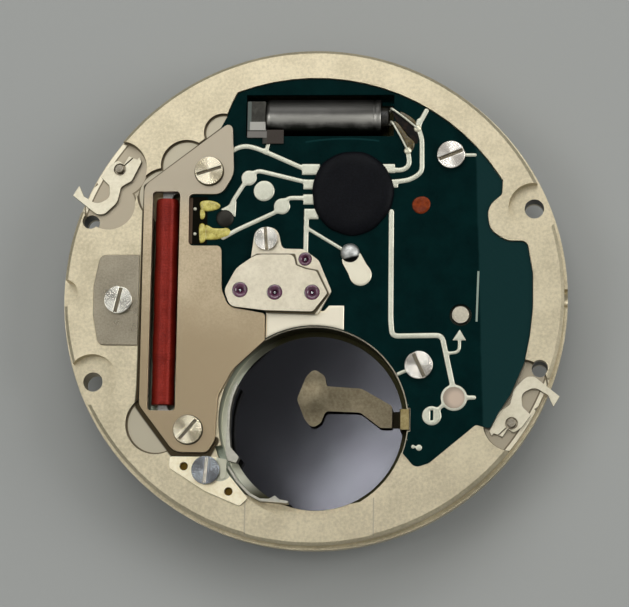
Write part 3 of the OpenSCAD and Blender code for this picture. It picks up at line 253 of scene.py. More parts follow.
# Heights of the board's top, the plate's web, and the floors milled for the cover's lugs and the latches
board_top, web_top, lug_floor, latch_floor = 2.0, 0.3, 1.85, 1.55
bridle_holes = (-6.38, -8.91), (-4.08, -10.17)
plate_nickel = satin("plate_nickel", (0.75, 0.66, 0.47), (0.56, 0.487, 0.335))
plate_x, plate_y, plate_z = (plate_nickel.along(axis) for axis in "XYZ")
plate_out, over_web = plate_nickel.round(0, 0), plate_z.above(web_top)
lug_edge = plate_nickel.beside_circles((-7.75, 5.15, 1.42), (-6.65, 6.72, 1.33), (-4.78, 8.45, 1.0),
                                       (-7.9, -6.75, 1.55))
cover_gap = plate_nickel.beside((-4.28, 9.05), (-8.72, 5.62), (-8.8, -5.8), (-6.95, -8.2), (-5.2, -8.24),
                                (-4.85, -7.6)) / (plate_y.between(-4.5, -6.5) * 0.10 + 0.18)
notch_edge = abs(plate_x).near(3.25, 0.03) * plate_y.below(-10.4) * plate_z.above(board_top)
crystal_room = plate_x.near(0.25, 4.1) * plate_y.near(9.35, 1.3) * plate_z.below(board_top - 0.01)
# Painted light and shade in the pockets: the well's wall is painted pale, as lit, on the side of the springs, and the
# pockets' walls elsewhere are painted dark as shade, darkest at their foot
spring_side = plate_x.between(-1.6, -4.0) * plate_y.between(-0.6, -4.2) * plate_y.between(-10.4, -9.2)
over_film = plate_z.between(0.42, 0.6)
painted_pocket_light_and_shade = plate_nickel.mix(spring_side, plate_nickel.mix(over_film, (0.035, 0.032, 0.015), (0.13, 0.12, 0.075)),
                             plate_nickel.mix(over_film, (0.78, 0.77, 0.64), (0.36, 0.40, 0.32)))
off_latches = abs(plate_x * 0.88 - plate_y * 0.474).below(9.2)
on_latch_floor = plate_z.near(latch_floor, 0.03)
stud_hole = plate_nickel.round(7.5, -1.06).below(0.62) * plate_z.below(board_top - 0.01) * over_web
plate_nickel.overlay(
    (plate_z.near(lug_floor, 0.04), (0.50, 0.45, 0.34)),
    # Painted shade: a dark line at the foot of the walls round the lugs' floors
    (plate_z.near(lug_floor, 0.2) * lug_edge.near(-0.03, 0.07), (0.16, 0.13, 0.085)),
    # Painted shadow: a dark band on the plate along the coil cover's edge
    ((1.0 - cover_gap).between(0.0, 0.35), (0.055, 0.042, 0.024)),
    # Painted shade: a darker line along the edge of the notch's step
    (notch_edge, (0.50, 0.44, 0.325)),
    # Painted shade: the plate in the crystal's pocket is nearly black, and dark green at its far side
    (crystal_room, (0.012, 0.014, 0.011)),
    (crystal_room * plate_y.above(10.25), (0.002, 0.05, 0.048)),
    (plate_z.below(1.75) * over_web * plate_out.below(10.75) * off_latches, painted_pocket_light_and_shade),
    (on_latch_floor, (0.45, 0.39, 0.29)),
    # Painted shade and highlight: a dark line on the latches' floors, and a bright one at the rim's outer edge
    (on_latch_floor * plate_out.near(12.56, 0.04), (0.20, 0.165, 0.11)),
    (on_latch_floor * plate_out.above(12.6), (0.86, 0.78, 0.60)))
# Painted shade: a dark line round the walls of each latch pocket
for side in (1, -1):
    latch_edge = plate_nickel.beside_circles((-10.15 * side, 6.55 * side, 1.42), (-10.62 * side, 4.68 * side, 1.34))
    plate_nickel.overlay((abs(latch_edge).below(0.045) * plate_z.near(1.7, 0.25), (0.22, 0.185, 0.125)))
# Painted shade in the plate seen through the bridle's two holes
for x, y in bridle_holes:
    plate_nickel.overlay((plate_nickel.round(x, y).below(0.22) * plate_z.above(1.2), (0.10, 0.06, 0.012)))
# Painted shade: the release stud's hole and three bores are dark inside
plate_nickel.overlay((stud_hole, (0.03, 0.03, 0.022)))
for x, y, radius in ((-11.56, 3.76, 0.5), (11.56, -3.76, 0.5), (11.27, 4.54, 0.56)):
    bore = plate_z.below(1.47) * over_web * plate_nickel.round(x, y).below(radius)
    plate_nickel.overlay((bore, (0.05, 0.045, 0.035)))
soft_fit("main_plate", 0.03, 2, plate_nickel, "movement", "plate")


# MOTOR AND GOING TRAIN. The rotor, the intermediate, seconds and third wheels and the centre wheel stand between
# the plate's jewels and the bridge's. Wheels are stamped brass, pinions polished steel, stator and core soft iron.
def clouded(name, dark, light, noise, low=0.3, high=0.7, depth=0.003, **sockets):
    """A plain material whose clouds run between two tones and stand up a little. noise has its size in mm, its
    detail and its roughness."""
    made = Finish(name, **sockets)
    cloud = made.noise(*noise)
    made.wear(Base_Color=made.mix(cloud.between(low, high), dark, light), Normal=made.relief(cloud, depth))
    return made


def dress(finish, *nodes):
    """Gives CAD nodes that keep their own mesh a finish."""
    for node in nodes:
        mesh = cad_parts[node].data
        mesh.materials.clear()
        mesh.materials.append(finish.material)


ruby = clouded("ruby", (0.055, 0.010, 0.030), (0.12, 0.026, 0.068), (0.25, 3.0), depth=0.002, Roughness=0.2,
               Coat_Weight=0.3, Coat_Roughness=0.1, IOR=1.76)
wheel_brass = satin("wheel_brass", (0.78, 0.60, 0.30), (0.60, 0.43, 0.19), 0.3, 0.05, 0.0015, 0.6)
pinion_steel = satin("pinion_steel", (0.60, 0.60, 0.61), (0.42, 0.42, 0.44), 0.22, 0.04, 0.001, 0.5)
soft_iron = satin("soft_iron", (0.40, 0.39, 0.37), (0.26, 0.25, 0.23), 0.38, 0.09, 0.003, 0.9)
sintered = satin("sintered_magnet", (0.16, 0.16, 0.175), (0.08, 0.08, 0.09), 0.5, 0.05, 0.003, 0.3)
dress(ruby, "plate_jewels")
dress(soft_iron, "stator")
dress(sintered, "rotor_magnet")
dress(wheel_brass, "intermediate_wheel", "second_wheel", "third_wheel", "centre_wheel")
dress(pinion_steel, "rotor_pinion", "intermediate_pinion", "second_pinion", "third_pinion", "cannon_pinion")

# TRAIN BRIDGE. A small nickelled brass bridge in two steps, screwed to a pillar of the plate. A dark line is painted
# at the foot of its upper step as shade.
bridge_nickel = satin("bridge_nickel", (0.80, 0.73, 0.575), (0.67, 0.60, 0.46), 0.38, 0.2, 0.0006, 1.4)
step_foot = bridge_nickel.beside((-3.4, 1.6), (-2.85, 1.93), (-1.0, 1.93), (-0.87, 1.4), (-0.35, 1.2), (0.2, 1.1),
                                 (0.75, -0.05), (0.08, -1.0), (-2.4, -0.96), (-4.0, -0.76))
bridge_nickel.overlay((bridge_nickel.along("Z").below(2.4) * step_foot.between(0.15, 0.08), (0.11, 0.09, 0.055)))
soft_fit("train_bridge", 0.035, 3, bridge_nickel, "movement", "bridge")


# BRIDGE JEWELS. Four ruby rings are pressed into the bridge and hold the train's upper pivots. Each has a
# polished rim and a bowl for the oil.
def grid_shell(grid, low=False, high=False):
    """Points and faces of a grid of closed rings, [ring, step round it, xyz]. Rings run upwards and steps turn
    anticlockwise, so faces look outwards. low and high close an end with a fan to the ring's middle."""
    rings, steps = grid.shape[:2]
    points = grid.reshape(-1, 3)
    ring, step = np.meshgrid(np.arange(rings - 1), np.arange(steps), indexing="ij")
    after = (step + 1) % steps
    quads = np.stack([ring * steps + step, ring * steps + after, (ring + 1) * steps + after,
                      (ring + 1) * steps + step], axis=-1).reshape(-1, 4)
    turn, fans = np.arange(steps), []
    for wanted, row, order in ((low, 0, (1, 0)), (high, rings - 1, (0, 1))):
        if wanted:
            ends = (row * steps + turn, row * steps + (turn + 1) % steps)
            middle = np.full(steps, len(points))
            points = np.concatenate([points, grid[row].mean(axis=0)[None]])
            fans.append(np.stack([ends[order[0]], ends[order[1]], middle], axis=-1))
    return points, quads, np.concatenate(fans) if fans else np.zeros((0, 3), int)


def full_turn(steps):
    """The angles of equal steps once round a circle."""
    return np.linspace(0, 2 * np.pi, steps, endpoint=False)


def turned(profile, at, steps=48, axis="Z"):
    """Lathe work: each (radius, height) of the profile becomes a ring round the axis, Z or X, through a point."""
    radius, height = np.array(profile, float).T
    angle = full_turn(steps)
    across, up = radius[:, None] * np.cos(angle), radius[:, None] * np.sin(angle)
    tall = np.broadcast_to(height[:, None], across.shape)
    order = (across, up, tall) if axis == "Z" else (tall, across, up)
    return np.stack(order, axis=-1) + np.array(at, float)


def assembled(name, shells, angle=35):
    """One object from several shells of points in mm with their four- and three-cornered faces. Edges that turn
    by less than this angle in degrees look smooth."""
    starts = np.cumsum([0] + [len(points) for points, quads, fans in shells[:-1]])
    points = np.concatenate([shell[0] for shell in shells])
    quads = np.concatenate([shell[1] + start for shell, start in zip(shells, starts)])
    fans = np.concatenate([shell[2] + start for shell, start in zip(shells, starts)])
    mesh = bpy.data.meshes.new(name)
    mesh.vertices.add(len(points))
    mesh.vertices.foreach_set("co", (points * MM).ravel())
    corners = np.concatenate([quads.ravel(), fans.ravel()])
    sizes = np.concatenate([np.full(len(quads), 4), np.full(len(fans), 3)])
    mesh.loops.add(len(corners))
    mesh.loops.foreach_set("vertex_index", corners)
    mesh.polygons.add(len(sizes))
    mesh.polygons.foreach_set("loop_start", np.cumsum(sizes) - sizes)
    mesh.update(calc_edges=True)
    mesh.validate()
    mesh.shade_smooth()
    mesh.set_sharp_from_angle(angle=math.radians(angle))
    return placed(name, mesh)


jewel_shells = []
for x, y, radius, foot, top in ((-3.69, 0.12, 0.4, 2.1, 2.5), (-1.91, 0, 0.4, 2.1, 2.5), (0, 0, 0.4, 2.1, 2.5),
                                (-0.4, 1.76, 0.35, 2.02, 2.25)):
    # Up the outside, over the polished rim, down the bowl of the oil sink and into the pivot's hole
    bowl = [(radius - 0.1 - (radius - 0.21) * t, top + 0.01 - 0.14 * t * t) for t in np.linspace(0.08, 1, 9)]
    profile = [(radius - 0.03, foot), (radius - 0.004, foot + 0.02), (radius - 0.004, top - 0.03),
               (radius - 0.02, top - 0.005), (radius - 0.06, top + 0.008), *bowl, (0.08, top - 0.2), (0.07, foot)]
    jewel_shells.append(grid_shell(turned(profile, (x, y, 0))))
fit(assembled("bridge_jewel_rings", jewel_shells), ruby, "movement", "jewel", "bridge_jewels")


# BRIDGE SCREW. A polished steel screw that clamps the bridge to its pillar. Its head has fine turned rings with a
# painted highlight, and its slot is painted dark as shade.
def lathed(name, colour, dark, centres, slot=None, slot_tone=(0.20, 0.17, 0.12)):
    """Polished turned metal: fine rings round the nearest of the centres, a highlight painted in two fans round them,
    faint scratches and a soft bloom. The head's slot, all that lies under the height slot, takes one colour, by
    default dark as painted shade."""
    pitch, lit, head_r = 0.06, 0.9, 1.2
    metal = Finish(name, Metallic=1.0)
    out = metal.beside_circles(*((x, y, 0.0) for x, y in centres))
    aside = ahead = 0.0
    for x, y in centres:
        on_head = metal.round(x, y).below(head_r)
        aside = (metal.along("X") - x) * on_head + aside
        ahead = (metal.along("Y") - y) * on_head + ahead
    # Painted highlight: two fans of light round each head, painted into its colour
    painted_fan = (aside * aside - ahead * ahead) * math.cos(2 * lit) + aside * ahead * 2.0 * math.sin(2 * lit)
    painted_fan = painted_fan / (out * out + 0.01)
    rings = (out * (2 * math.pi / pitch)).sine() * 0.5 + 0.5
    scratch, bloom = metal.noise(0.12, 4.0, 0.7, (1.0, 6.0, 1.0)), metal.noise(0.5, 3.0)
    tone = (bloom * 0.2 + scratch * 0.2 + painted_fan * 0.42 + 0.38).between(0.05, 0.85)
    metal.wear(Base_Color=metal.mix(tone, dark, colour), Roughness=0.2 + (bloom - 0.5) * 0.1,
               Normal=metal.relief(scratch, 0.001, metal.relief(rings, 0.0015)))
    if slot:
        metal.overlay((metal.along("Z").below(slot) * out.below(0.65), slot_tone))
    return metal


bridge_screw_steel = lathed("bridge_screw_steel", (0.90, 0.86, 0.78), (0.50, 0.48, 0.43), [(-2.41, 2.8)], slot=2.43)
soft_fit("bridge_screw", 0.035, 3, bridge_screw_steel, "movement", "screw")

# CIRCUIT BOARD. A glass-fibre board under dark green solder mask, cut out for the motor, the bridge and the cell.
# The mask follows the weave a little and is paler beyond the line of the old routing slot near the stem. By the
# coil's joints a patch is painted nearly black as the shade of a slot, with a brown strip along the cover's edge
# painted as the slot's shaded wall.
solder_mask = Finish("solder_mask", IOR=1.5, Specular_IOR_Level=0.02)
mask_x, mask_y = solder_mask.along("X"), solder_mask.along("Y")
weave_pitch = 2 * math.pi / 0.34
weave = (mask_x * weave_pitch).sine() * (mask_y * weave_pitch).sine() * 0.5 + 0.5
mottle = solder_mask.noise(1.1, 4.0, 0.6)
outer_zone = (mask_x + (mask_y - 1.0) * 0.03 + (mottle - 0.5) * 0.1).between(8.42, 8.54)
routing_slot = (mask_x - (mask_y + 0.1) * 0.031).near(8.40, 0.05) * mask_y.near(-0.1, 1.3)
# Painted highlight: a faint glint along a curved line of the mask
glint = (mask_y + (mask_x - 1.6) * (mask_x - 1.6) * 0.04).near(8.12, 0.045) * mask_x.near(1.4, 1.9)
solder_mask.wear(Base_Color=solder_mask.mix(mottle.between(0.25, 0.8), (0.0004, 0.0095, 0.0095),
                                            (0.0008, 0.0150, 0.0145)),
                 Roughness=0.3 + (mottle - 0.5) * 0.16, Normal=solder_mask.relief(weave * 0.4 + mottle, 0.006))
solder_mask.overlay((outer_zone, (0.007, 0.030, 0.030)), (routing_slot, (0.30, 0.36, 0.30)),
                    (glint, (0.004, 0.028, 0.028)),
                    # Painted shade: a near-black patch as a shaded slot, and a brown strip as its shaded wall
                    (mask_x.near(-6.1, 0.6) * mask_y.near(3.8, 1.25), (0.004, 0.004, 0.002)),
                    (mask_x.near(-6.40, 0.13) * mask_y.near(3.8, 1.2), (0.085, 0.056, 0.038)))
soft_fit("circuit_board", 0.02, 2, solder_mask, "movement", "board")


# COPPER TRACKS. Etched copper under a flow of tin, left bare of mask. The tin stands proud with a round rim, draws
# a small fillet into every corner, and has a creamy, faintly uneven skin.
def side_gap(x, y, start, end):
    """Distance of the points x, y from the straight line between two ends."""
    dx, dy = end[0] - start[0], end[1] - start[1]
    part = np.clip(((x - start[0]) * dx + (y - start[1]) * dy) / max(dx * dx + dy * dy, 1e-9), 0, 1)
    return np.hypot(x - start[0] - part * dx, y - start[1] - part * dy)


def outline_gap(x, y, corners):
    """Distance from a closed outline, negative within it, where an odd number of sides lies to the right."""
    near, odd = np.full(x.shape, 99.0), np.zeros(x.shape, bool)
    for start, end in zip(corners, [*corners[1:], corners[0]]):
        near = np.minimum(near, side_gap(x, y, start, end))
        cross = start[0] + (y - start[1]) * (end[0] - start[0]) / (end[1] - start[1] or 1e-9)
        odd ^= ((start[1] > y) != (end[1] > y)) & (x < cross)
    return np.where(odd, -near, near)


def cornered(line, cut=0.3):
    """A line whose inner corners are replaced by parabolas that start and end at most cut mm from them."""
    made = [line[0]]
    for before, at, after in zip(np.array(line), np.array(line[1:]), np.array(line[2:])):
        ways = [(near - at) * min(0.5, cut / np.linalg.norm(near - at)) for near in (before, after)]
        made += [tuple(at + (1 - t) ** 2 * ways[0] + t * t * ways[1]) for t in (0, 0.25, 0.5, 0.75, 1)]
    return [*made, line[-1]]


def melted(first, second, reach=0.1):
    """The union of two signed distances whose corner is filled with a fillet of about this reach."""
    share = np.clip(0.5 + 0.5 * (second - first) / reach, 0, 1)
    return second * (1 - share) + first * share - reach * share * (1 - share)


def rectangle(left, low, right, top):
    """The corners of an upright rectangle."""
    return [(left, top), (right, top), (right, low), (left, low)]


mesh_step, well_x, well_y = 0.045, 0.1, -6.5
tin_x, tin_y = np.meshgrid(np.arange(-5.2, 9.0, mesh_step), np.arange(-8.3, 10.1, mesh_step), indexing="ij")
# Half width and line of each track
tracks = [(0.125, [(-4.3, 7.47), (-4.0, 7.66), (-3.6, 7.74), (-3.18, 7.67), (-2.55, 7.43), (-0.47, 6.5)]),
          (0.1, [(-2.55, 7.43), (-2.42, 7.9)]), (0.115, [(-3.39, 6.05), (-3.0, 6.46), (-0.4, 5.82)]),
          (0.115, [(-3.39, 6.05), (-3.7, 5.65), (-4.2, 4.84), (-4.31, 4.52), (-4.6, 4.3)]),
          (0.115, [(-1.66, 4.56), (-1.41, 5.0), (-0.4, 5.0)]),
          (0.115, [(-1.66, 4.56), (-1.93, 4.28), (-3.97, 3.32), (-4.67, 2.91)]),
          (0.125, [(-0.15, 4.2), (-0.39, 4.05), (-0.4, 2.1)]), (0.09, [(-0.4, 3.46), (-0.26, 3.37), (1.6, 2.25)]),
          (0.135, [(3.97, 4.29), (4.0, -1.33), (4.08, -2.16), (6.61, -2.11), (7.16, -4.63)]),
          (0.08, [(6.98, -3.02), (7.5, -2.97), (7.5, -2.2)]), (0.1, [(6.13, -6.22), (6.69, -5.67)]),
          (0.11, [(7.24, -5.3), (8.25, -5.28)]), (0.53, [(2.0, 1.78), (2.43, 1.0)]),
          (0.125, [(5.72, 9.6), (5.27, 8.75), (5.5, 8.15), (5.52, 6.36), (4.96, 5.97), (3.9, 5.8)]),
          (0.125, [(4.78, 7.5), (4.89, 6.75), (4.55, 6.45), (3.7, 6.5)]), (0.09, [(5.45, -3.66), (4.40, -4.10)]),
          (0.09, [(7.01, 7.26), (8.23, 7.26)]), (0.12, [(5.33, 9.05), (5.24, 8.6)])]
gap_field = np.full(tin_x.shape, 9.0)
for half, line in tracks:
    bends = cornered(line)
    strip = np.min([side_gap(tin_x, tin_y, start, end) for start, end in zip(bends, bends[1:])], axis=0) - half
    gap_field = melted(gap_field, strip)
for x, y, radius in ((-3.39, 6.05, 0.4), (-2.6, 5.37, 0.54), (-1.66, 4.56, 0.42), (2.43, 1.0, 0.56),
                     (7.24, -5.3, 0.67), (6.13, -6.22, 0.49), (5.2, -7.8, 0.1), (5.5, -7.85, 0.16)):
    gap_field = melted(gap_field, np.hypot(tin_x - x, tin_y - y) - radius)
# The chip's pads, an arrow, the coil's lands, the land beside the well and two marks at the contact
for corners in (rectangle(-0.64, 6.23, 0.25, 6.77), rectangle(-0.56, 5.47, 0.0, 5.95),
                rectangle(-0.55, 4.67, 0.0, 5.18), rectangle(-0.5, 3.91, 0.22, 4.42),
                rectangle(3.5, 6.33, 4.11, 6.77), rectangle(3.9, 5.56, 4.28, 5.95),
                [(7.51, -1.83), (7.17, -2.35), (7.81, -2.35)], [(-4.8, 4.4), (-4.04, 4.8), (-4.07, 4.02)],
                [(-2.36, -0.9), (0.6, -0.9), (0.85, -0.62), (1.6, -0.62), (1.6, -2.2), (-2.36, -2.4)],
                [(4.54, -5.36), (4.93, -5.68), (4.6, -5.78)],
                [(4.7, -7.08), (4.9, -7.08), (4.9, -7.46), (4.64, -7.46)]):
    gap_field = melted(gap_field, outline_gap(tin_x, tin_y, corners) - 0.02, 0.06)
# No tin in the bridge's window, over the well or in the round pad's slot
window = [(-2.8, 1.9), (-2.8, 3.1), (-2.1, 3.1), (-1.8, 2.1), (-0.6, 2.1), (0.1, 1.6), (0.65, 0.0), (0.2, -0.7),
          (-3.95, -0.45)]
for cut in (-outline_gap(tin_x, tin_y, window), 4.87 - np.hypot(tin_x - well_x, tin_y - well_y),
            -outline_gap(tin_x, tin_y, rectangle(6.05, -6.45, 6.2, -5.95))):
    gap_field = np.maximum(gap_field, cut)
# Points just outside move onto the tin's edge, along the slope of the distance
slope_x, slope_y = np.gradient(gap_field, mesh_step)
steep = np.maximum(np.hypot(slope_x, slope_y), 0.3)
outside = np.clip(gap_field, 0, 2 * mesh_step)
edge_x, edge_y = tin_x - outside * slope_x / steep**2, tin_y - outside * slope_y / steep**2
inward = np.clip(-gap_field / 0.1, 0, 1)
uneven = 1 + 0.07 * np.sin(5 * tin_x + 3 * tin_y) * np.sin(4 * tin_y - tin_x)
tin_top = board_top + 0.002 + 0.034 * np.sqrt(1 - (1 - inward) ** 2) * uneven
tin_points = np.stack([edge_x, edge_y, np.where(gap_field > 0, board_top - 0.005, tin_top)], axis=-1)
inner = gap_field <= 0
cell = inner[:-1, :-1] | inner[1:, :-1] | inner[1:, 1:] | inner[:-1, 1:]
number = np.arange(tin_x.size).reshape(tin_x.shape)
quads = np.stack([number[:-1, :-1][cell], number[1:, :-1][cell], number[1:, 1:][cell], number[:-1, 1:][cell]],
                 axis=-1)
used, quads = np.unique(quads, return_inverse=True)
tin_shell = (tin_points.reshape(-1, 3)[used], quads.reshape(-1, 4), np.zeros((0, 3), int))
tin = Finish("tin", Metallic=0.55, IOR=1.5)
tin_skin, tin_cloud = tin.noise(0.11, 3.0, 0.6), tin.noise(0.9, 3.0)
land_zone = (tin.along("Y") + (tin_cloud - 0.5) * 0.2).below(-0.55) * tin.along("X").near(-0.4, 2.2)
copper_disc = (tin.round(7.24, -5.3) + (tin_skin - 0.5) * 0.05).below(0.55)
# Painted light: the copper pad is painted brighter right of its middle and darker towards its edge
copper_painted_sheen = tin.mix(tin.round(7.34, -5.35).between(0.25, 0.6), (0.60, 0.475, 0.37), (0.36, 0.29, 0.225))
tin.wear(Base_Color=tin.mix((tin_skin * 0.6 + tin_cloud * 0.6).between(0.3, 0.85), (0.55, 0.545, 0.43),
                            (0.71, 0.705, 0.58)),
         Roughness=0.36 + (tin_cloud - 0.5) * 0.2, Normal=tin.relief(tin_skin, 0.004))
tin.overlay((land_zone, (0.87, 0.795, 0.63)),
            (tin.beside((2.0, 1.78), (2.43, 1.0)).below(0.58), (0.84, 0.78, 0.61)), (copper_disc, copper_painted_sheen))
fit(assembled("tin_tracks", [tin_shell], 60), tin, "movement", "tin", "circuit_tracks")

# SOLDERED STUDS. Domes of bright solder where the chip's test pin and the coil's end come through the board, and
# two small blobs on the crystal's leads. Each has a flowed foot, and a dark crescent is painted on the test pin as
# its shadow.
pin_x, pin_y = 1.88, 2.13
solder = Finish("solder", Metallic=1.0)
solder_skin = solder.noise(0.18, 3.0, 0.55)
# Painted shadow: a dark crescent on the test pin's lower side
pin_shadow = ((solder.along("X") - pin_x) * 0.25 - (solder.along("Y") - pin_y)).between(0.2, 0.32)
solder.wear(Base_Color=solder.mix(solder_skin.between(0.3, 0.7), (0.42, 0.42, 0.40), (0.66, 0.66, 0.64)),
            Roughness=0.48 + (solder_skin - 0.5) * 0.15, Normal=solder.relief(solder_skin, 0.006))
solder.overlay((solder.round(5.03, 8.08).below(1.0), (0.85, 0.80, 0.62)),
               (pin_shadow * solder.round(pin_x, pin_y).below(0.6), (0.008, 0.008, 0.008)),
               (solder.round(-4.59, 3.96).below(0.55), (0.035, 0.033, 0.028)))
stud_shells = []
for x, y, radius, height in ((pin_x, pin_y, 0.5, 0.33), (4.78, 7.48, 0.2, 0.11), (5.27, 8.65, 0.2, 0.11),
                             (-4.59, 3.93, 0.46, 0.13)):
    cap = [(radius * math.cos(t * math.pi / 2) * (1 - 0.1 * t), board_top + height * math.sin(t * math.pi / 2))
           for t in np.linspace(0.12, 1, 12)[:-1]]
    foot = [(radius, board_top - 0.03), (radius, board_top + 0.003)]
    stud_shells.append(grid_shell(turned([*foot, *cap], (x, y, 0), 36), high=True))
fit(assembled("solder_studs", stud_shells, 60), solder, "movement", "solder", "contact_studs")

# CHIP COVER. A drop of black resin cast over the bare chip. It has set to a low dome with a slightly wandering
# rim, a matt skin and small dimples.
chip_x, chip_y, chip_r, chip_h = 1.97, 5.26, 2.1, 0.32
angle = full_turn(128)
wander = 0.012 * np.sin(3 * angle + 0.6) + 0.008 * np.sin(5 * angle + 2.0) + 0.005 * np.sin(11 * angle)
rise = np.linspace(0.0, 1.0, 26)[:-1, None]
reach = chip_r * (1 - rise**1.7) * (1 + wander * (1 - rise))
swell = board_top + chip_h * np.sin(np.pi / 2 * np.minimum(1, rise * 1.9)) ** 0.75
dimples = 0.012 * np.sin(2.3 * reach * np.cos(angle) + 1.0) * np.sin(2.7 * reach * np.sin(angle)) * (rise > 0)
dome = np.stack([chip_x + reach * np.cos(angle), chip_y + 1.05 * reach * np.sin(angle), swell + dimples], axis=-1)
dome = np.concatenate([dome[:1] * (1, 1, 0) + (0, 0, board_top - 0.03), dome])
resin = Finish("resin", IOR=1.5, Specular_IOR_Level=0.1)
resin_skin, resin_wide = resin.noise(0.1, 4.0, 0.7), resin.noise(0.9, 3.0)
resin.wear(Base_Color=resin.mix(resin_skin.between(0.35, 0.75), (0.0010, 0.0012, 0.0022), (0.0036, 0.0042, 0.0068)),
           Roughness=0.5 + (resin_wide - 0.5) * 0.3, Normal=resin.relief(resin_skin * 0.6 + resin_wide, 0.012))
fit(assembled("resin_dome", [grid_shell(dome, high=True)], 60), resin, "movement", "chip", "chip_cover")

# LACQUER DOT. A drop of red lacquer that marks the board as tested. It has dried thick at its rim and dished in
# the middle, where it shines a little.
angle = full_turn(64)
blot = 1 + 0.03 * np.sin(2 * angle + 0.4) + 0.02 * np.sin(3 * angle)
drop = [(0.46, 1.99), (0.455, 2.02), (0.43, 2.045), (0.39, 2.055), (0.32, 2.052), (0.22, 2.042), (0.1, 2.036),
        (0.03, 2.035)]
drop = turned(drop, (0, 0, 0), 64) * np.stack([blot, blot, np.ones(64)], axis=-1) + (5.5, 4.64, 0)
lacquer = clouded("red_lacquer", (0.13, 0.018, 0.003), (0.25, 0.040, 0.006), (0.25, 3.0), depth=0.004,
                  Roughness=0.25, Coat_Weight=0.06, Coat_Roughness=0.15, Specular_IOR_Level=0.12)
fit(assembled("lacquer_drop", [grid_shell(drop, high=True)], 60), lacquer, "movement", "lacquer", "lacquer_dot")

# BOARD SCREWS. Two polished steel screws that clamp the board to the plate. Their heads have turned rings with a
# painted highlight and a slot painted dark as shade, as the bridge's has.
board_screw_steel = lathed("board_screw_steel", (0.95, 0.90, 0.82), (0.42, 0.385, 0.34),
                           [(7.01, 7.24), (5.45, -3.66)], slot=2.18)
soft_fit("board_screws", 0.045, 3, board_screw_steel, "movement", "screw")

# QUARTZ CRYSTAL. A drawn can of dull gun-metal, 1.9 mm across, that lies in the board's slot. Its open end is
# crimped over a header with two leads. A highlight is painted along it, with painted shade beyond it and on the
# flank towards the chip.
crystal_y, crystal_z, can_r = 9.35, 1.41, 0.95
can_metal = Finish("can_metal", Metallic=1.0)
drawn, can_cloud = can_metal.noise(0.16, 4.0, 0.65, (0.12, 1.0, 1.0)), can_metal.noise(0.8, 3.0)
painted_flank_shade = (can_metal.along("Y") + (can_cloud - 0.5) * 0.4 + (drawn - 0.5) * 0.15).between(8.96, 8.62)
high_line = can_metal.along("Y") + (can_cloud - 0.5) * 0.15 + (drawn - 0.5) * 0.1
can_metal.wear(Base_Color=can_metal.mix((drawn * 0.6 + can_cloud * 0.6).between(0.3, 0.85), (0.12, 0.116, 0.108),
                                        (0.21, 0.203, 0.188)),
               Roughness=0.42 + (can_cloud - 0.5) * 0.2, Normal=can_metal.relief(drawn, 0.006))
# Painted highlight along the can, and painted shade beyond it and on the flank towards the chip
can_metal.overlay((abs(high_line - 9.09).between(0.32, 0.03), (0.48, 0.465, 0.425)),
                  (high_line.between(9.26, 9.48), (0.075, 0.073, 0.068)), (painted_flank_shade, (0.016, 0.018, 0.014)))
crimp = [(can_r - 0.12, 3.36), (can_r - 0.04, 3.38), (can_r - 0.005, 3.33), (can_r - 0.005, 3.12),
         (can_r - 0.045, 3.06), (can_r - 0.045, 2.98), (can_r - 0.002, 2.91)]
round_end = [(can_r - 0.17 + 0.168 * math.cos(t), -2.3 - 0.24 * math.sin(t)) for t in np.linspace(0.25, 1.5, 7)]
can_profile = [*crimp, (can_r - 0.002, -2.3), *round_end, (0.3, -2.552), (0.04, -2.556)]
can = turned(can_profile[::-1], (0, crystal_y, crystal_z), 72, "X")
fit(assembled("crystal_tube", [grid_shell(can, low=True, high=True)], 40), can_metal, "movement", "can",
    "crystal_can")
seal_glass = clouded("seal_glass", (0.008, 0.008, 0.006), (0.035, 0.032, 0.025), (0.14, 4.0, 0.6), depth=0.012,
                     Roughness=0.42)
header = [(0.52, 3.36), (0.52, 3.68), (0.5, 3.74), (0.44, 3.77), (0.3, 3.785), (0.04, 3.79)]
header = turned(header, (0, crystal_y, crystal_z), 48, "X")
fit(assembled("crystal_header", [grid_shell(header, high=True)]), seal_glass, "movement", "seal", "crystal_base")


# CRYSTAL'S LEADS. Two thin bright wires leave the header, bend up over the board's edge and run straight to their
# solder. Brown flux has run along them and dried as thin webs.
def swept(line, radius, steps=16):
    """A round wire: a ring of this radius stands square to the line at each of its points."""
    line = np.array(line, float)
    along = np.gradient(line, axis=0)
    along /= np.linalg.norm(along, axis=1)[:, None]
    side = np.cross(along, (0.0, 0.3, 1.0))
    side /= np.linalg.norm(side, axis=1)[:, None]
    over = np.cross(side, along)
    angle = full_turn(steps)[None, :, None]
    return line[:, None] + radius * (np.cos(angle) * side[:, None] - np.sin(angle) * over[:, None])


def closed_curve(corners, steps=8):
    """A smooth closed line through corner points: each span is a cubic whose ends run parallel to the chord
    between the neighbours."""
    p = np.array(corners, float)
    slope = (np.roll(p, -1, axis=0) - np.roll(p, 1, axis=0)) / 2
    p, slope = np.concatenate([p, p[:1]]), np.concatenate([slope, slope[:1]])
    t = np.linspace(0, 1, steps, endpoint=False)[:, None]
    h = (2 * t**3 - 3 * t**2 + 1, t**3 - 2 * t**2 + t, 3 * t**2 - 2 * t**3, t**3 - t**2)
    return np.concatenate([h[0] * p[i] + h[1] * slope[i] + h[2] * p[i + 1] + h[3] * slope[i + 1]
                           for i in range(len(corners))])


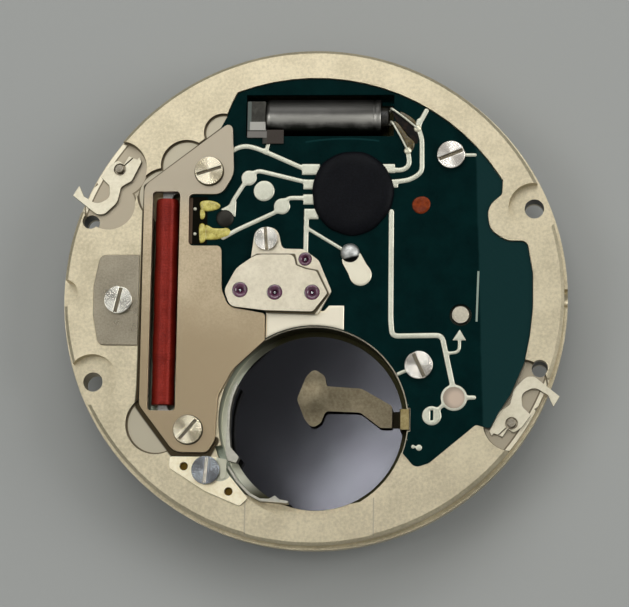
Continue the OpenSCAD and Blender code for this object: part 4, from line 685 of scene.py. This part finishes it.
def mound(corners, height, power=3.0):
    """A drop poured on the board: rings shrink from a smooth closed line through the corners to its middle, and
    rise by height times the root of one less the ring's share to this power."""
    line = closed_curve(corners)
    turn = np.roll(line, -1, axis=0)
    line = line if (line[:, 0] * turn[:, 1] - line[:, 1] * turn[:, 0]).sum() > 0 else line[::-1]
    middle, share = line.mean(axis=0), np.linspace(1, 0.05, 14)[:, None]
    flat = middle + (line - middle) * share[..., None]
    tall = np.broadcast_to(board_top + height * np.sqrt(1 - share**power), flat.shape[:2])
    grid = np.concatenate([flat, tall[..., None]], axis=-1)
    return grid_shell(np.concatenate([grid[:1] - (0, 0, 0.03), grid]), high=True)


lead_shells = []
for x, y, start in ((5.27, 8.65, 9.7), (4.78, 7.48, 9.0)):
    rise = [(3.7, start, crystal_z), (3.84, start, 1.43), (3.9, start, 1.5), (3.91, start, 2.02),
            (3.95, start - 0.03, 2.09), (4.05, start - 0.1 * (start - y), 2.11)]
    run = [(4.0, start - 0.05 * (start - y), 2.11), ((4 + x) / 2, (start + y) / 2, 2.12), (x, y, 2.09)]
    lead_shells += [grid_shell(swept(rise, 0.07), low=True), grid_shell(swept(run, 0.055), low=True, high=True)]
fit(assembled("crystal_wires", lead_shells, 60), tin, "movement", "tin", "crystal_leads")
# The flux is brown here and yellow on the coil's joints, which lie where x is negative
dried_flux = Finish("dried_flux", Roughness=0.25, IOR=1.5, Coat_Weight=0.3, Coat_Roughness=0.15)
flux_cloud, flux_speck = dried_flux.noise(0.3, 3.0), dried_flux.noise(0.07, 3.0)
flux_mottle = flux_cloud * 0.8 + flux_speck * 0.3
brown_tone = dried_flux.mix(flux_mottle.between(0.35, 0.8), (0.028, 0.018, 0.004), (0.16, 0.115, 0.03))
yellow_tone = dried_flux.mix(flux_mottle.between(0.3, 0.75), (0.30, 0.23, 0.02), (0.70, 0.62, 0.16))
dried_flux.wear(Base_Color=dried_flux.mix(dried_flux.along("X").below(0.0), brown_tone, yellow_tone),
                Normal=dried_flux.relief(flux_speck * 0.4 + flux_cloud, 0.014))
webs = [mound([(4.05, 8.98), (4.3, 8.9), (4.75, 8.3), (5.1, 7.95), (5.08, 7.6), (4.86, 7.5), (4.5, 8.1)], 0.06),
        mound([(4.35, 9.55), (4.8, 9.35), (5.15, 9.05), (5.18, 8.86), (4.95, 8.88), (4.5, 9.2)], 0.05)]
fit(assembled("lead_flux", webs, 60), dried_flux, "movement", "flux")

# BURNT FLUX. Between the leads the slot's floor and the board's edge are black with flux that soldering has burnt
# to a thin, dull crust.
burnt_flux = clouded("burnt_flux", (0.002, 0.0015, 0.001), (0.016, 0.008, 0.004), (0.25, 3.0), 0.4, 0.75, 0.01,
                     Roughness=0.5, Specular_IOR_Level=0.15)
scorch = mound([(3.98, 9.6), (4.35, 9.5), (5.05, 8.85), (5.3, 8.35), (5.28, 7.9), (5.1, 7.9), (4.7, 8.4),
                (4.2, 9.0)], 0.035)
fit(assembled("burnt_patch", [scorch], 60), burnt_flux, "movement", "flux")

# CRYSTAL HOLDER. A moulded block that beds the can's closed end. A bright strip across its step is a painted
# reflection, the edge along the board is paler grey, and a dark tab reaches over the board.
holder_rubber = Finish("holder_rubber", Roughness=0.42, Specular_IOR_Level=0.3)
rubber_cloud = holder_rubber.noise(0.4, 4.0, 0.6)
hold_x, hold_y = holder_rubber.along("X"), holder_rubber.along("Y")
holder_rubber.wear(Base_Color=holder_rubber.mix(rubber_cloud.between(0.3, 0.72), (0.022, 0.020, 0.014),
                                                (0.055, 0.053, 0.042)),
                   Normal=holder_rubber.relief(rubber_cloud, 0.016))
holder_rubber.overlay((hold_x.below(-3.32), (0.095, 0.11, 0.098)),
                      (hold_y.near(8.34, 0.19) * hold_x.below(-2.5), (0.17, 0.158, 0.143)),
                      # Painted reflection: the bright strip across the step
                      (hold_y.near(8.77, 0.22) * hold_x.near(-2.97, 0.42), (0.41, 0.395, 0.355)),
                      (hold_y.near(8.52, 0.03), (0.02, 0.018, 0.015)),
                      ((hold_x - rubber_cloud * 0.05).between(-2.56, -2.5), (0.036, 0.026, 0.019)))
soft_fit("crystal_holder", 0.06, 3, holder_rubber, "movement", "seal")

# STEPPING MOTOR'S COIL. Thousands of turns of red enamelled wire on a soft iron core. The winding is one long
# cylinder with the ridges of its outer turns, a little fuller where layers end, and it lies in a slot of the plate.
coil_x, coil_low, coil_high, coil_z, coil_r, wire = -7.62, -5.75, 4.95, 1.61, 0.6, 0.075
tall = np.linspace(coil_high, coil_low, int((coil_high - coil_low) / wire * 5) + 1)[:, None]
from_end = np.clip(np.minimum(coil_high - tall, tall - coil_low) / 0.12, 0, 1)
full = coil_r - 0.022 + 0.012 * np.sin(tall * 1.9 + 0.5) + 0.006 * np.sin(tall * 7.3)
around = full_turn(40)
ridge = np.abs(np.sin(np.pi * (tall / wire + around / (2 * np.pi)))) ** 0.7
radius = (full + 0.014 * ridge) * (0.93 + 0.07 * from_end**0.5)
winding = np.stack([coil_x - radius * np.sin(around), np.broadcast_to(tall, radius.shape),
                    coil_z + radius * np.cos(around)], axis=-1)
enamel = Finish("red_enamel", Metallic=0.45, Coat_Weight=0.08, Coat_Roughness=0.2, Specular_IOR_Level=0.2)
strand, stain = enamel.noise(0.09, 3.0, 0.6, (1.0, 3.2, 1.0)), enamel.noise(1.6, 3.0)
enamel.wear(Base_Color=enamel.mix((strand * 0.7 + stain * 0.5).between(0.25, 0.85), (0.085, 0.003, 0.002),
                                  (0.29, 0.020, 0.010)),
            Roughness=0.34 + (stain - 0.5) * 0.2, Normal=enamel.relief(strand, 0.005))
fit(assembled("wound_coil", [grid_shell(winding, low=True, high=True)], 180), enamel, "movement", "copper",
    "coil_winding")
soft_fit("coil_core", 0.03, 2, soft_iron, "movement", "iron")

# COIL'S JOINTS. The two ends of the wire are soldered to the board and covered in yellow flux, which was poured in
# strokes round a bare square and has dried darker in its middle.
strokes = (([(-5.88, 4.78), (-5.5, 4.87), (-5.1, 4.80), (-4.85, 4.62), (-4.95, 4.42), (-5.3, 4.32), (-5.62, 4.30),
             (-5.84, 4.4)], 0.09),
           ([(-5.88, 4.36), (-5.7, 4.38), (-5.62, 4.1), (-5.7, 3.9), (-5.86, 3.92)], 0.06),
           ([(-5.6, 3.56), (-5.2, 3.42), (-4.8, 3.40), (-4.45, 3.42), (-4.27, 3.22), (-4.40, 3.00), (-4.9, 2.84),
             (-5.4, 2.80), (-5.66, 2.9)], 0.09),
           ([(-5.9, 3.6), (-5.66, 3.62), (-5.55, 3.2), (-5.6, 2.75), (-5.85, 2.66), (-5.92, 3.1)], 0.08))
joint_shells = [mound(corners, height, 5.0) for corners, height in strokes]
fit(assembled("flux_strokes", joint_shells, 60), dried_flux, "movement", "flux", "coil_terminals")
end_shells = [grid_shell(turned([(0.09, 1.98), (0.085, 2.03), (0.05, 2.06), (0.01, 2.07)], (x, y, 0), 20), high=True)
              for x, y in ((-6.15, 4.42), (-6.13, 3.11))]
fit(assembled("wire_ends", end_shells, 60), tin, "movement", "tin")

# COIL COVER AND SIDE PLATE. Two pieces of nickelled sheet, blanked and tumbled. The cover holds core, stator and
# board down and leaves a slot over the winding. It is smoother than the plate, browner towards the cell and
# greyer at its upper end, and a dark ring is painted round the heads of its screws as shade.
cover_screws_at = (-5.43, 6.34), (-6.21, -7.06)
cover_sheet = satin("cover_sheet", (0.60, 0.49, 0.333), (0.43, 0.345, 0.225), 0.33, 0.1, 0.0012, 2.6)
cover_y, cover_cloud = cover_sheet.along("Y"), cover_sheet.noise(1.8, 3.0) - 0.5
cell_side = (cover_y + cover_cloud * 3.0).between(1.5, -3.5) * cover_sheet.along("X").below(-2.0)
cover_sheet.overlay((cell_side, (0.40, 0.31, 0.195)),
                    ((cover_y + cover_cloud * 2.0).between(3.2, 5.6), (0.455, 0.395, 0.30)),
                    # Painted shade: a dark ring round each screw's head
                    *((cover_sheet.round(x, y).near(0.745, 0.03), (0.09, 0.075, 0.05)) for x, y in cover_screws_at))
soft_fit("coil_cover", 0.05, 3, cover_sheet, "movement", "cover")
side_sheet = satin("side_sheet", (0.40, 0.353, 0.266), (0.28, 0.244, 0.18), 0.3, 0.1, 0.0014, 2.2)
soft_fit("side_plate", 0.04, 3, side_sheet, "movement", "cover")
cover_screw_steel = lathed("cover_screw_steel", (0.98, 0.89, 0.68), (0.36, 0.31, 0.21), cover_screws_at, slot=2.43)
soft_fit("cover_screws", 0.045, 3, cover_screw_steel, "movement", "screw")
side_screw_steel = lathed("side_screw_steel", (0.93, 0.90, 0.80), (0.42, 0.40, 0.35), [(-9.96, -0.4)], slot=2.38)
soft_fit("side_plate_screw", 0.045, 3, side_screw_steel, "movement", "screw")

# CELL WELL. A dark polished insulating film lies on the well's floor. It is pressed in a little bowed, so it
# mirrors the room softly.
film_r, film_low, film_high = 4.48, 0.36, 0.42
spread, angle = np.linspace(film_r, 0.02 * film_r, 40)[:, None], full_turn(128)
film_x, film_y = 0.15 + spread * np.cos(angle), -6.46 + spread * np.sin(angle)
film_grid = np.stack([film_x, film_y, film_high + 0.002 * np.cos(1.1 * (film_x + film_y))], axis=-1)
film_grid = np.concatenate([film_grid[:1] * (1, 1, 0) + (0, 0, film_low), film_grid])
film = Finish("dark_film", Metallic=1.0, IOR=1.5)
film_haze, film_dust = film.noise(2.2, 3.0), film.noise(0.12, 4.0, 0.7)
film.wear(Base_Color=film.mix((film_haze * 0.8 + film_dust * 0.3).between(0.3, 0.9), (0.027, 0.027, 0.031),
                              (0.035, 0.036, 0.040)),
          Roughness=0.09 + film_dust * 0.02, Normal=film.relief(film_haze, 0.002))
fit(assembled("well_film", [grid_shell(film_grid, high=True)]), film, "movement", "film", "well_insulator")


# NEGATIVE CONTACT. A leaf of champagne-plated spring bronze. Its leaf-shaped head presses up against the cell, and
# its arm bows down to a root that is hooked into the well's wall beside the board.
def bow(x, y):
    """How far the leaf rises: a dimple in its head, a sag along its arm and a lift at its tip."""
    head = 0.10 * np.exp(-((x - 0.05) ** 2 + (y + 5.2) ** 2) / 0.5)
    return head - 0.07 * np.sin(np.clip((x - 0.7) / 3.3, 0, 1) * np.pi) ** 2 + 0.05 * np.exp(-((y + 3.9) ** 2) / 0.15)


leaf_bronze = satin("leaf_bronze", (0.26, 0.22, 0.145), (0.16, 0.13, 0.082), 0.34, 0.14, 0.0009, 1.1)
root_gilt = satin("root_gilt", (0.42, 0.34, 0.165), (0.26, 0.20, 0.085), 0.42, 0.14, 0.0006, 0.6)
# Painted shade: the root's part left of x 4.55, down in the slot, is painted dark
root_gilt.overlay((root_gilt.along("X").below(4.55), (0.02, 0.017, 0.01)))
soft_fit("negative_contact", 0.02, 2, leaf_bronze, "contact", "leaf", bow)
soft_fit("contact_root", 0.02, 2, root_gilt, "movement", "leaf")

# POSITIVE BRIDLE AND SPRINGS. A gilt bridle is screwed to the rim, and two sprung blades under it press on the
# cell's side. Its flank and its two holes are painted dark brown as shade, and it is dull where a blade's tab is
# bent round the screw.
bridle_gilt = satin("bridle_gilt", (1.0, 0.92, 0.70), (0.90, 0.79, 0.54), 0.4, 0.2, 0.0005, 0.8)
dull = bridle_gilt.round(-4.55, -9.0).below(0.66) * bridle_gilt.along("X").above(-4.72)
# Painted shade: the bridle's flank and the walls of its two holes are dark brown
bridle_gilt.overlay((bridle_gilt.along("Z").below(2.2), (0.16, 0.115, 0.05)),
                    *((bridle_gilt.round(x, y).below(0.215), (0.13, 0.075, 0.015)) for x, y in bridle_holes),
                    (dull, (0.56, 0.55, 0.43)))
soft_fit("positive_bridle", 0.03, 2, bridle_gilt, "movement", "gilt")
blade_steel = satin("blade_steel", (0.56, 0.54, 0.46), (0.42, 0.40, 0.34), 0.42, 0.2, 0.0004, 0.7)
soft_fit("side_spring", 0.015, 2, blade_steel, "blade_side", "spring")
soft_fit("end_spring", 0.015, 2, blade_steel, "blade_end", "spring")
bridle_screw_steel = lathed("bridle_screw_steel", (0.34, 0.36, 0.38), (0.15, 0.155, 0.165), [(-5.25, -9.11)],
                            slot=2.43, slot_tone=(0.60, 0.56, 0.48))
soft_fit("bridle_screw", 0.045, 3, bridle_screw_steel, "movement", "blue_screw")

# DIAL-FOOT LATCHES. Two bright nickelled levers turn on split heads round their posts, and their hooked tails
# grip the dial's feet.
latch_nickel = satin("latch_nickel", (0.81, 0.75, 0.59), (0.70, 0.64, 0.48), 0.42, 0.2, 0.0003, 1.2)
# Painted shade: the latches' sides below their tops are dark round their outline
latch_nickel.overlay((latch_nickel.along("Z").below(1.72), (0.13, 0.11, 0.075)))
soft_fit("left_latch", 0.04, 3, latch_nickel, "latch_left", "latch")
soft_fit("right_latch", 0.04, 3, latch_nickel, "latch_right", "latch")
post_steel = satin("post_steel", (0.40, 0.36, 0.29), (0.22, 0.19, 0.14), 0.3, 0.08, 0.002, 0.4)
soft_fit("latch_posts", 0.03, 2, post_steel, "movement", "steel")

# DIAL SIDE. The motion work turns on studs, the date ring lies in its recess, and the keeper plate holds it all.
# Wheels are brass and the ring is lacquered white.
dress(wheel_brass, "minute_wheel", "hour_wheel", "date_idler", "date_wheel")
dress(pinion_steel, "setting_wheel", "motion_work_studs", "date_finger", "date_jumper", "sliding_pinion", "yoke")
ring_white = clouded("ring_white", (0.72, 0.72, 0.69), (0.82, 0.82, 0.79), (0.3, 4.0, 0.6), Roughness=0.35)
soft_fit("date_ring", 0.015, 2, ring_white, "calendar", "ring")
keeper_nickel = satin("keeper_nickel", (0.66, 0.62, 0.54), (0.5, 0.46, 0.38), 0.3, 0.12, 0.0016, 1.8)
soft_fit("date_keeper", 0.02, 2, keeper_nickel, "movement", "plate")
keeper_screw_steel = lathed("keeper_screw_steel", (0.82, 0.80, 0.75), (0.58, 0.56, 0.52),
                            [(1.97, 7.34), (-7.14, 2.6), (5.65, -5.09)])
soft_fit("keeper_screws", 0.02, 2, keeper_screw_steel, "movement", "screw")
lever_steel = satin("lever_steel", (0.68, 0.62, 0.50), (0.53, 0.48, 0.38), 0.34, 0.12, 0.0008, 0.6)
soft_fit("setting_lever", 0.03, 2, lever_steel, "lever", "steel")

# DATE NUMERALS. The days from 1 to 31 are printed on the ring in black ink. Each runs along the ring's radius, so
# that it reads level from the dial's side as it passes the stem, where a dial has its window.
days, numeral_r, numeral_size, ink_t, ring_under = 31, 10.2, 1.45, 0.01, 0.12
ink = clouded("ink", (0.004, 0.004, 0.006), (0.03, 0.03, 0.034), (0.1, 4.0, 0.7), 0.35, 0.8, 0.002, Roughness=0.45,
              Specular_IOR_Level=0.3)
numerals = bmesh.new()
for day in range(days):
    stroke = bpy.data.curves.new("day", "FONT")
    stroke.body, stroke.size, stroke.extrude, stroke.resolution_u = str(day + 1), numeral_size * MM, ink_t * MM / 2, 3
    stroke.align_x, stroke.align_y = "CENTER", "CENTER"
    carrier = bpy.data.objects.new("day", stroke)
    printed = bpy.data.meshes.new_from_object(carrier)
    printed.transform(Matrix.Rotation(-2 * math.pi * day / days, 4, "Z")
                      @ Matrix.Translation((numeral_r * MM, 0, (ring_under - ink_t / 2 + 0.002) * MM))
                      @ Matrix.Rotation(math.pi, 4, "X"))
    numerals.from_mesh(printed)
    bpy.data.objects.remove(carrier)
    bpy.data.curves.remove(stroke)
    bpy.data.meshes.remove(printed)
bmesh.ops.remove_doubles(numerals, verts=numerals.verts, dist=0.0005 * MM)
numeral_mesh = bpy.data.meshes.new("date_numerals")
numerals.to_mesh(numeral_mesh)
numerals.free()
fit(placed("date_numerals", numeral_mesh), ink, "calendar", "chip")

# FLOOR. A plain matt sheet of pale grey paper, just under the lowest point of the movement, and far wider than
# the picture.
floor_z, floor_half = -1.95, 600.0
floor_mesh = bpy.data.meshes.new("floor")
floor_mesh.from_pydata([(x * floor_half * MM, y * floor_half * MM, floor_z * MM) for x, y in
                        ((-1, -1), (1, -1), (1, 1), (-1, 1))], [], [(0, 1, 2, 3)])
paper = Finish("paper", Base_Color=(0.36, 0.367, 0.355), Roughness=0.9)
paper.wear(Normal=paper.relief(paper.noise(0.5, 3.0), 0.004))
floor_mesh.materials.append(paper.material)
placed("floor", floor_mesh)


# LAMPS. Soft boxes round a pale room: a window behind, a side lamp that draws the shadows, one above and one on
# the left. Two small ones stand where the film and the rim's edge mirror them.
def softbox(name, at, width, height, radiance, turn=None):
    """A flat lamp of this size in mm whose face shines at the given radiance, where 1 renders as white. It looks
    at the movement, or straight down if it has a turn about Z."""
    data = bpy.data.lights.new(name, "AREA")
    data.shape, data.size, data.size_y = "RECTANGLE", width * MM, height * MM
    data.energy = radiance * math.pi * width * height * MM * MM
    lamp = placed(name, data)
    lamp.location = Vector(at) * MM
    lamp.rotation_euler = (-Vector(at)).to_track_quat("-Z", "Y").to_euler() if turn is None else (0, 0, turn)


softbox("lamp_window", (-20, 330, 330), 420, 200, 2.6)
softbox("lamp_side", (360, 60, 240), 220, 260, 3.6)
softbox("lamp_over", (-30, 180, 420), 260, 110, 1.5)
softbox("lamp_left", (-260, 20, 340), 200, 160, 2.8)
softbox("lamp_cell", (-21.5, 33, 420), 24, 7, 31, math.atan2(0.74, 0.68))
softbox("lamp_edge", (-16.8, 53.5, 420), 10, 12, 5, 0)
world = bpy.data.worlds.new("studio")
bpy.context.scene.world = world
world.use_nodes = True
world.node_tree.nodes["Background"].inputs["Color"].default_value = (0.98, 1.0, 0.98, 1.0)
world.node_tree.nodes["Background"].inputs["Strength"].default_value = 0.34

# CAMERA. Where the photograph was taken from, above the movement and a little to the stem's side, with a long
# lens. It leans from straight down by one turn about one axis.
camera_data = bpy.data.cameras.new("camera")
camera_data.sensor_width, camera_data.lens = 36.0, 148.8
camera_data.clip_start, camera_data.clip_end = 0.005, 5.0
camera = placed("camera", camera_data)
lean = Vector([math.radians(angle) for angle in (9.57, 4.39, 0.58)])
camera.matrix_world = (Matrix.Translation(Vector((10.32, -22.48, 132.43)) * MM)
                       @ Matrix.Rotation(lean.length, 4, lean.normalized()))
bpy.context.scene.camera = camera
bpy.context.scene.view_settings.view_transform = "Standard"
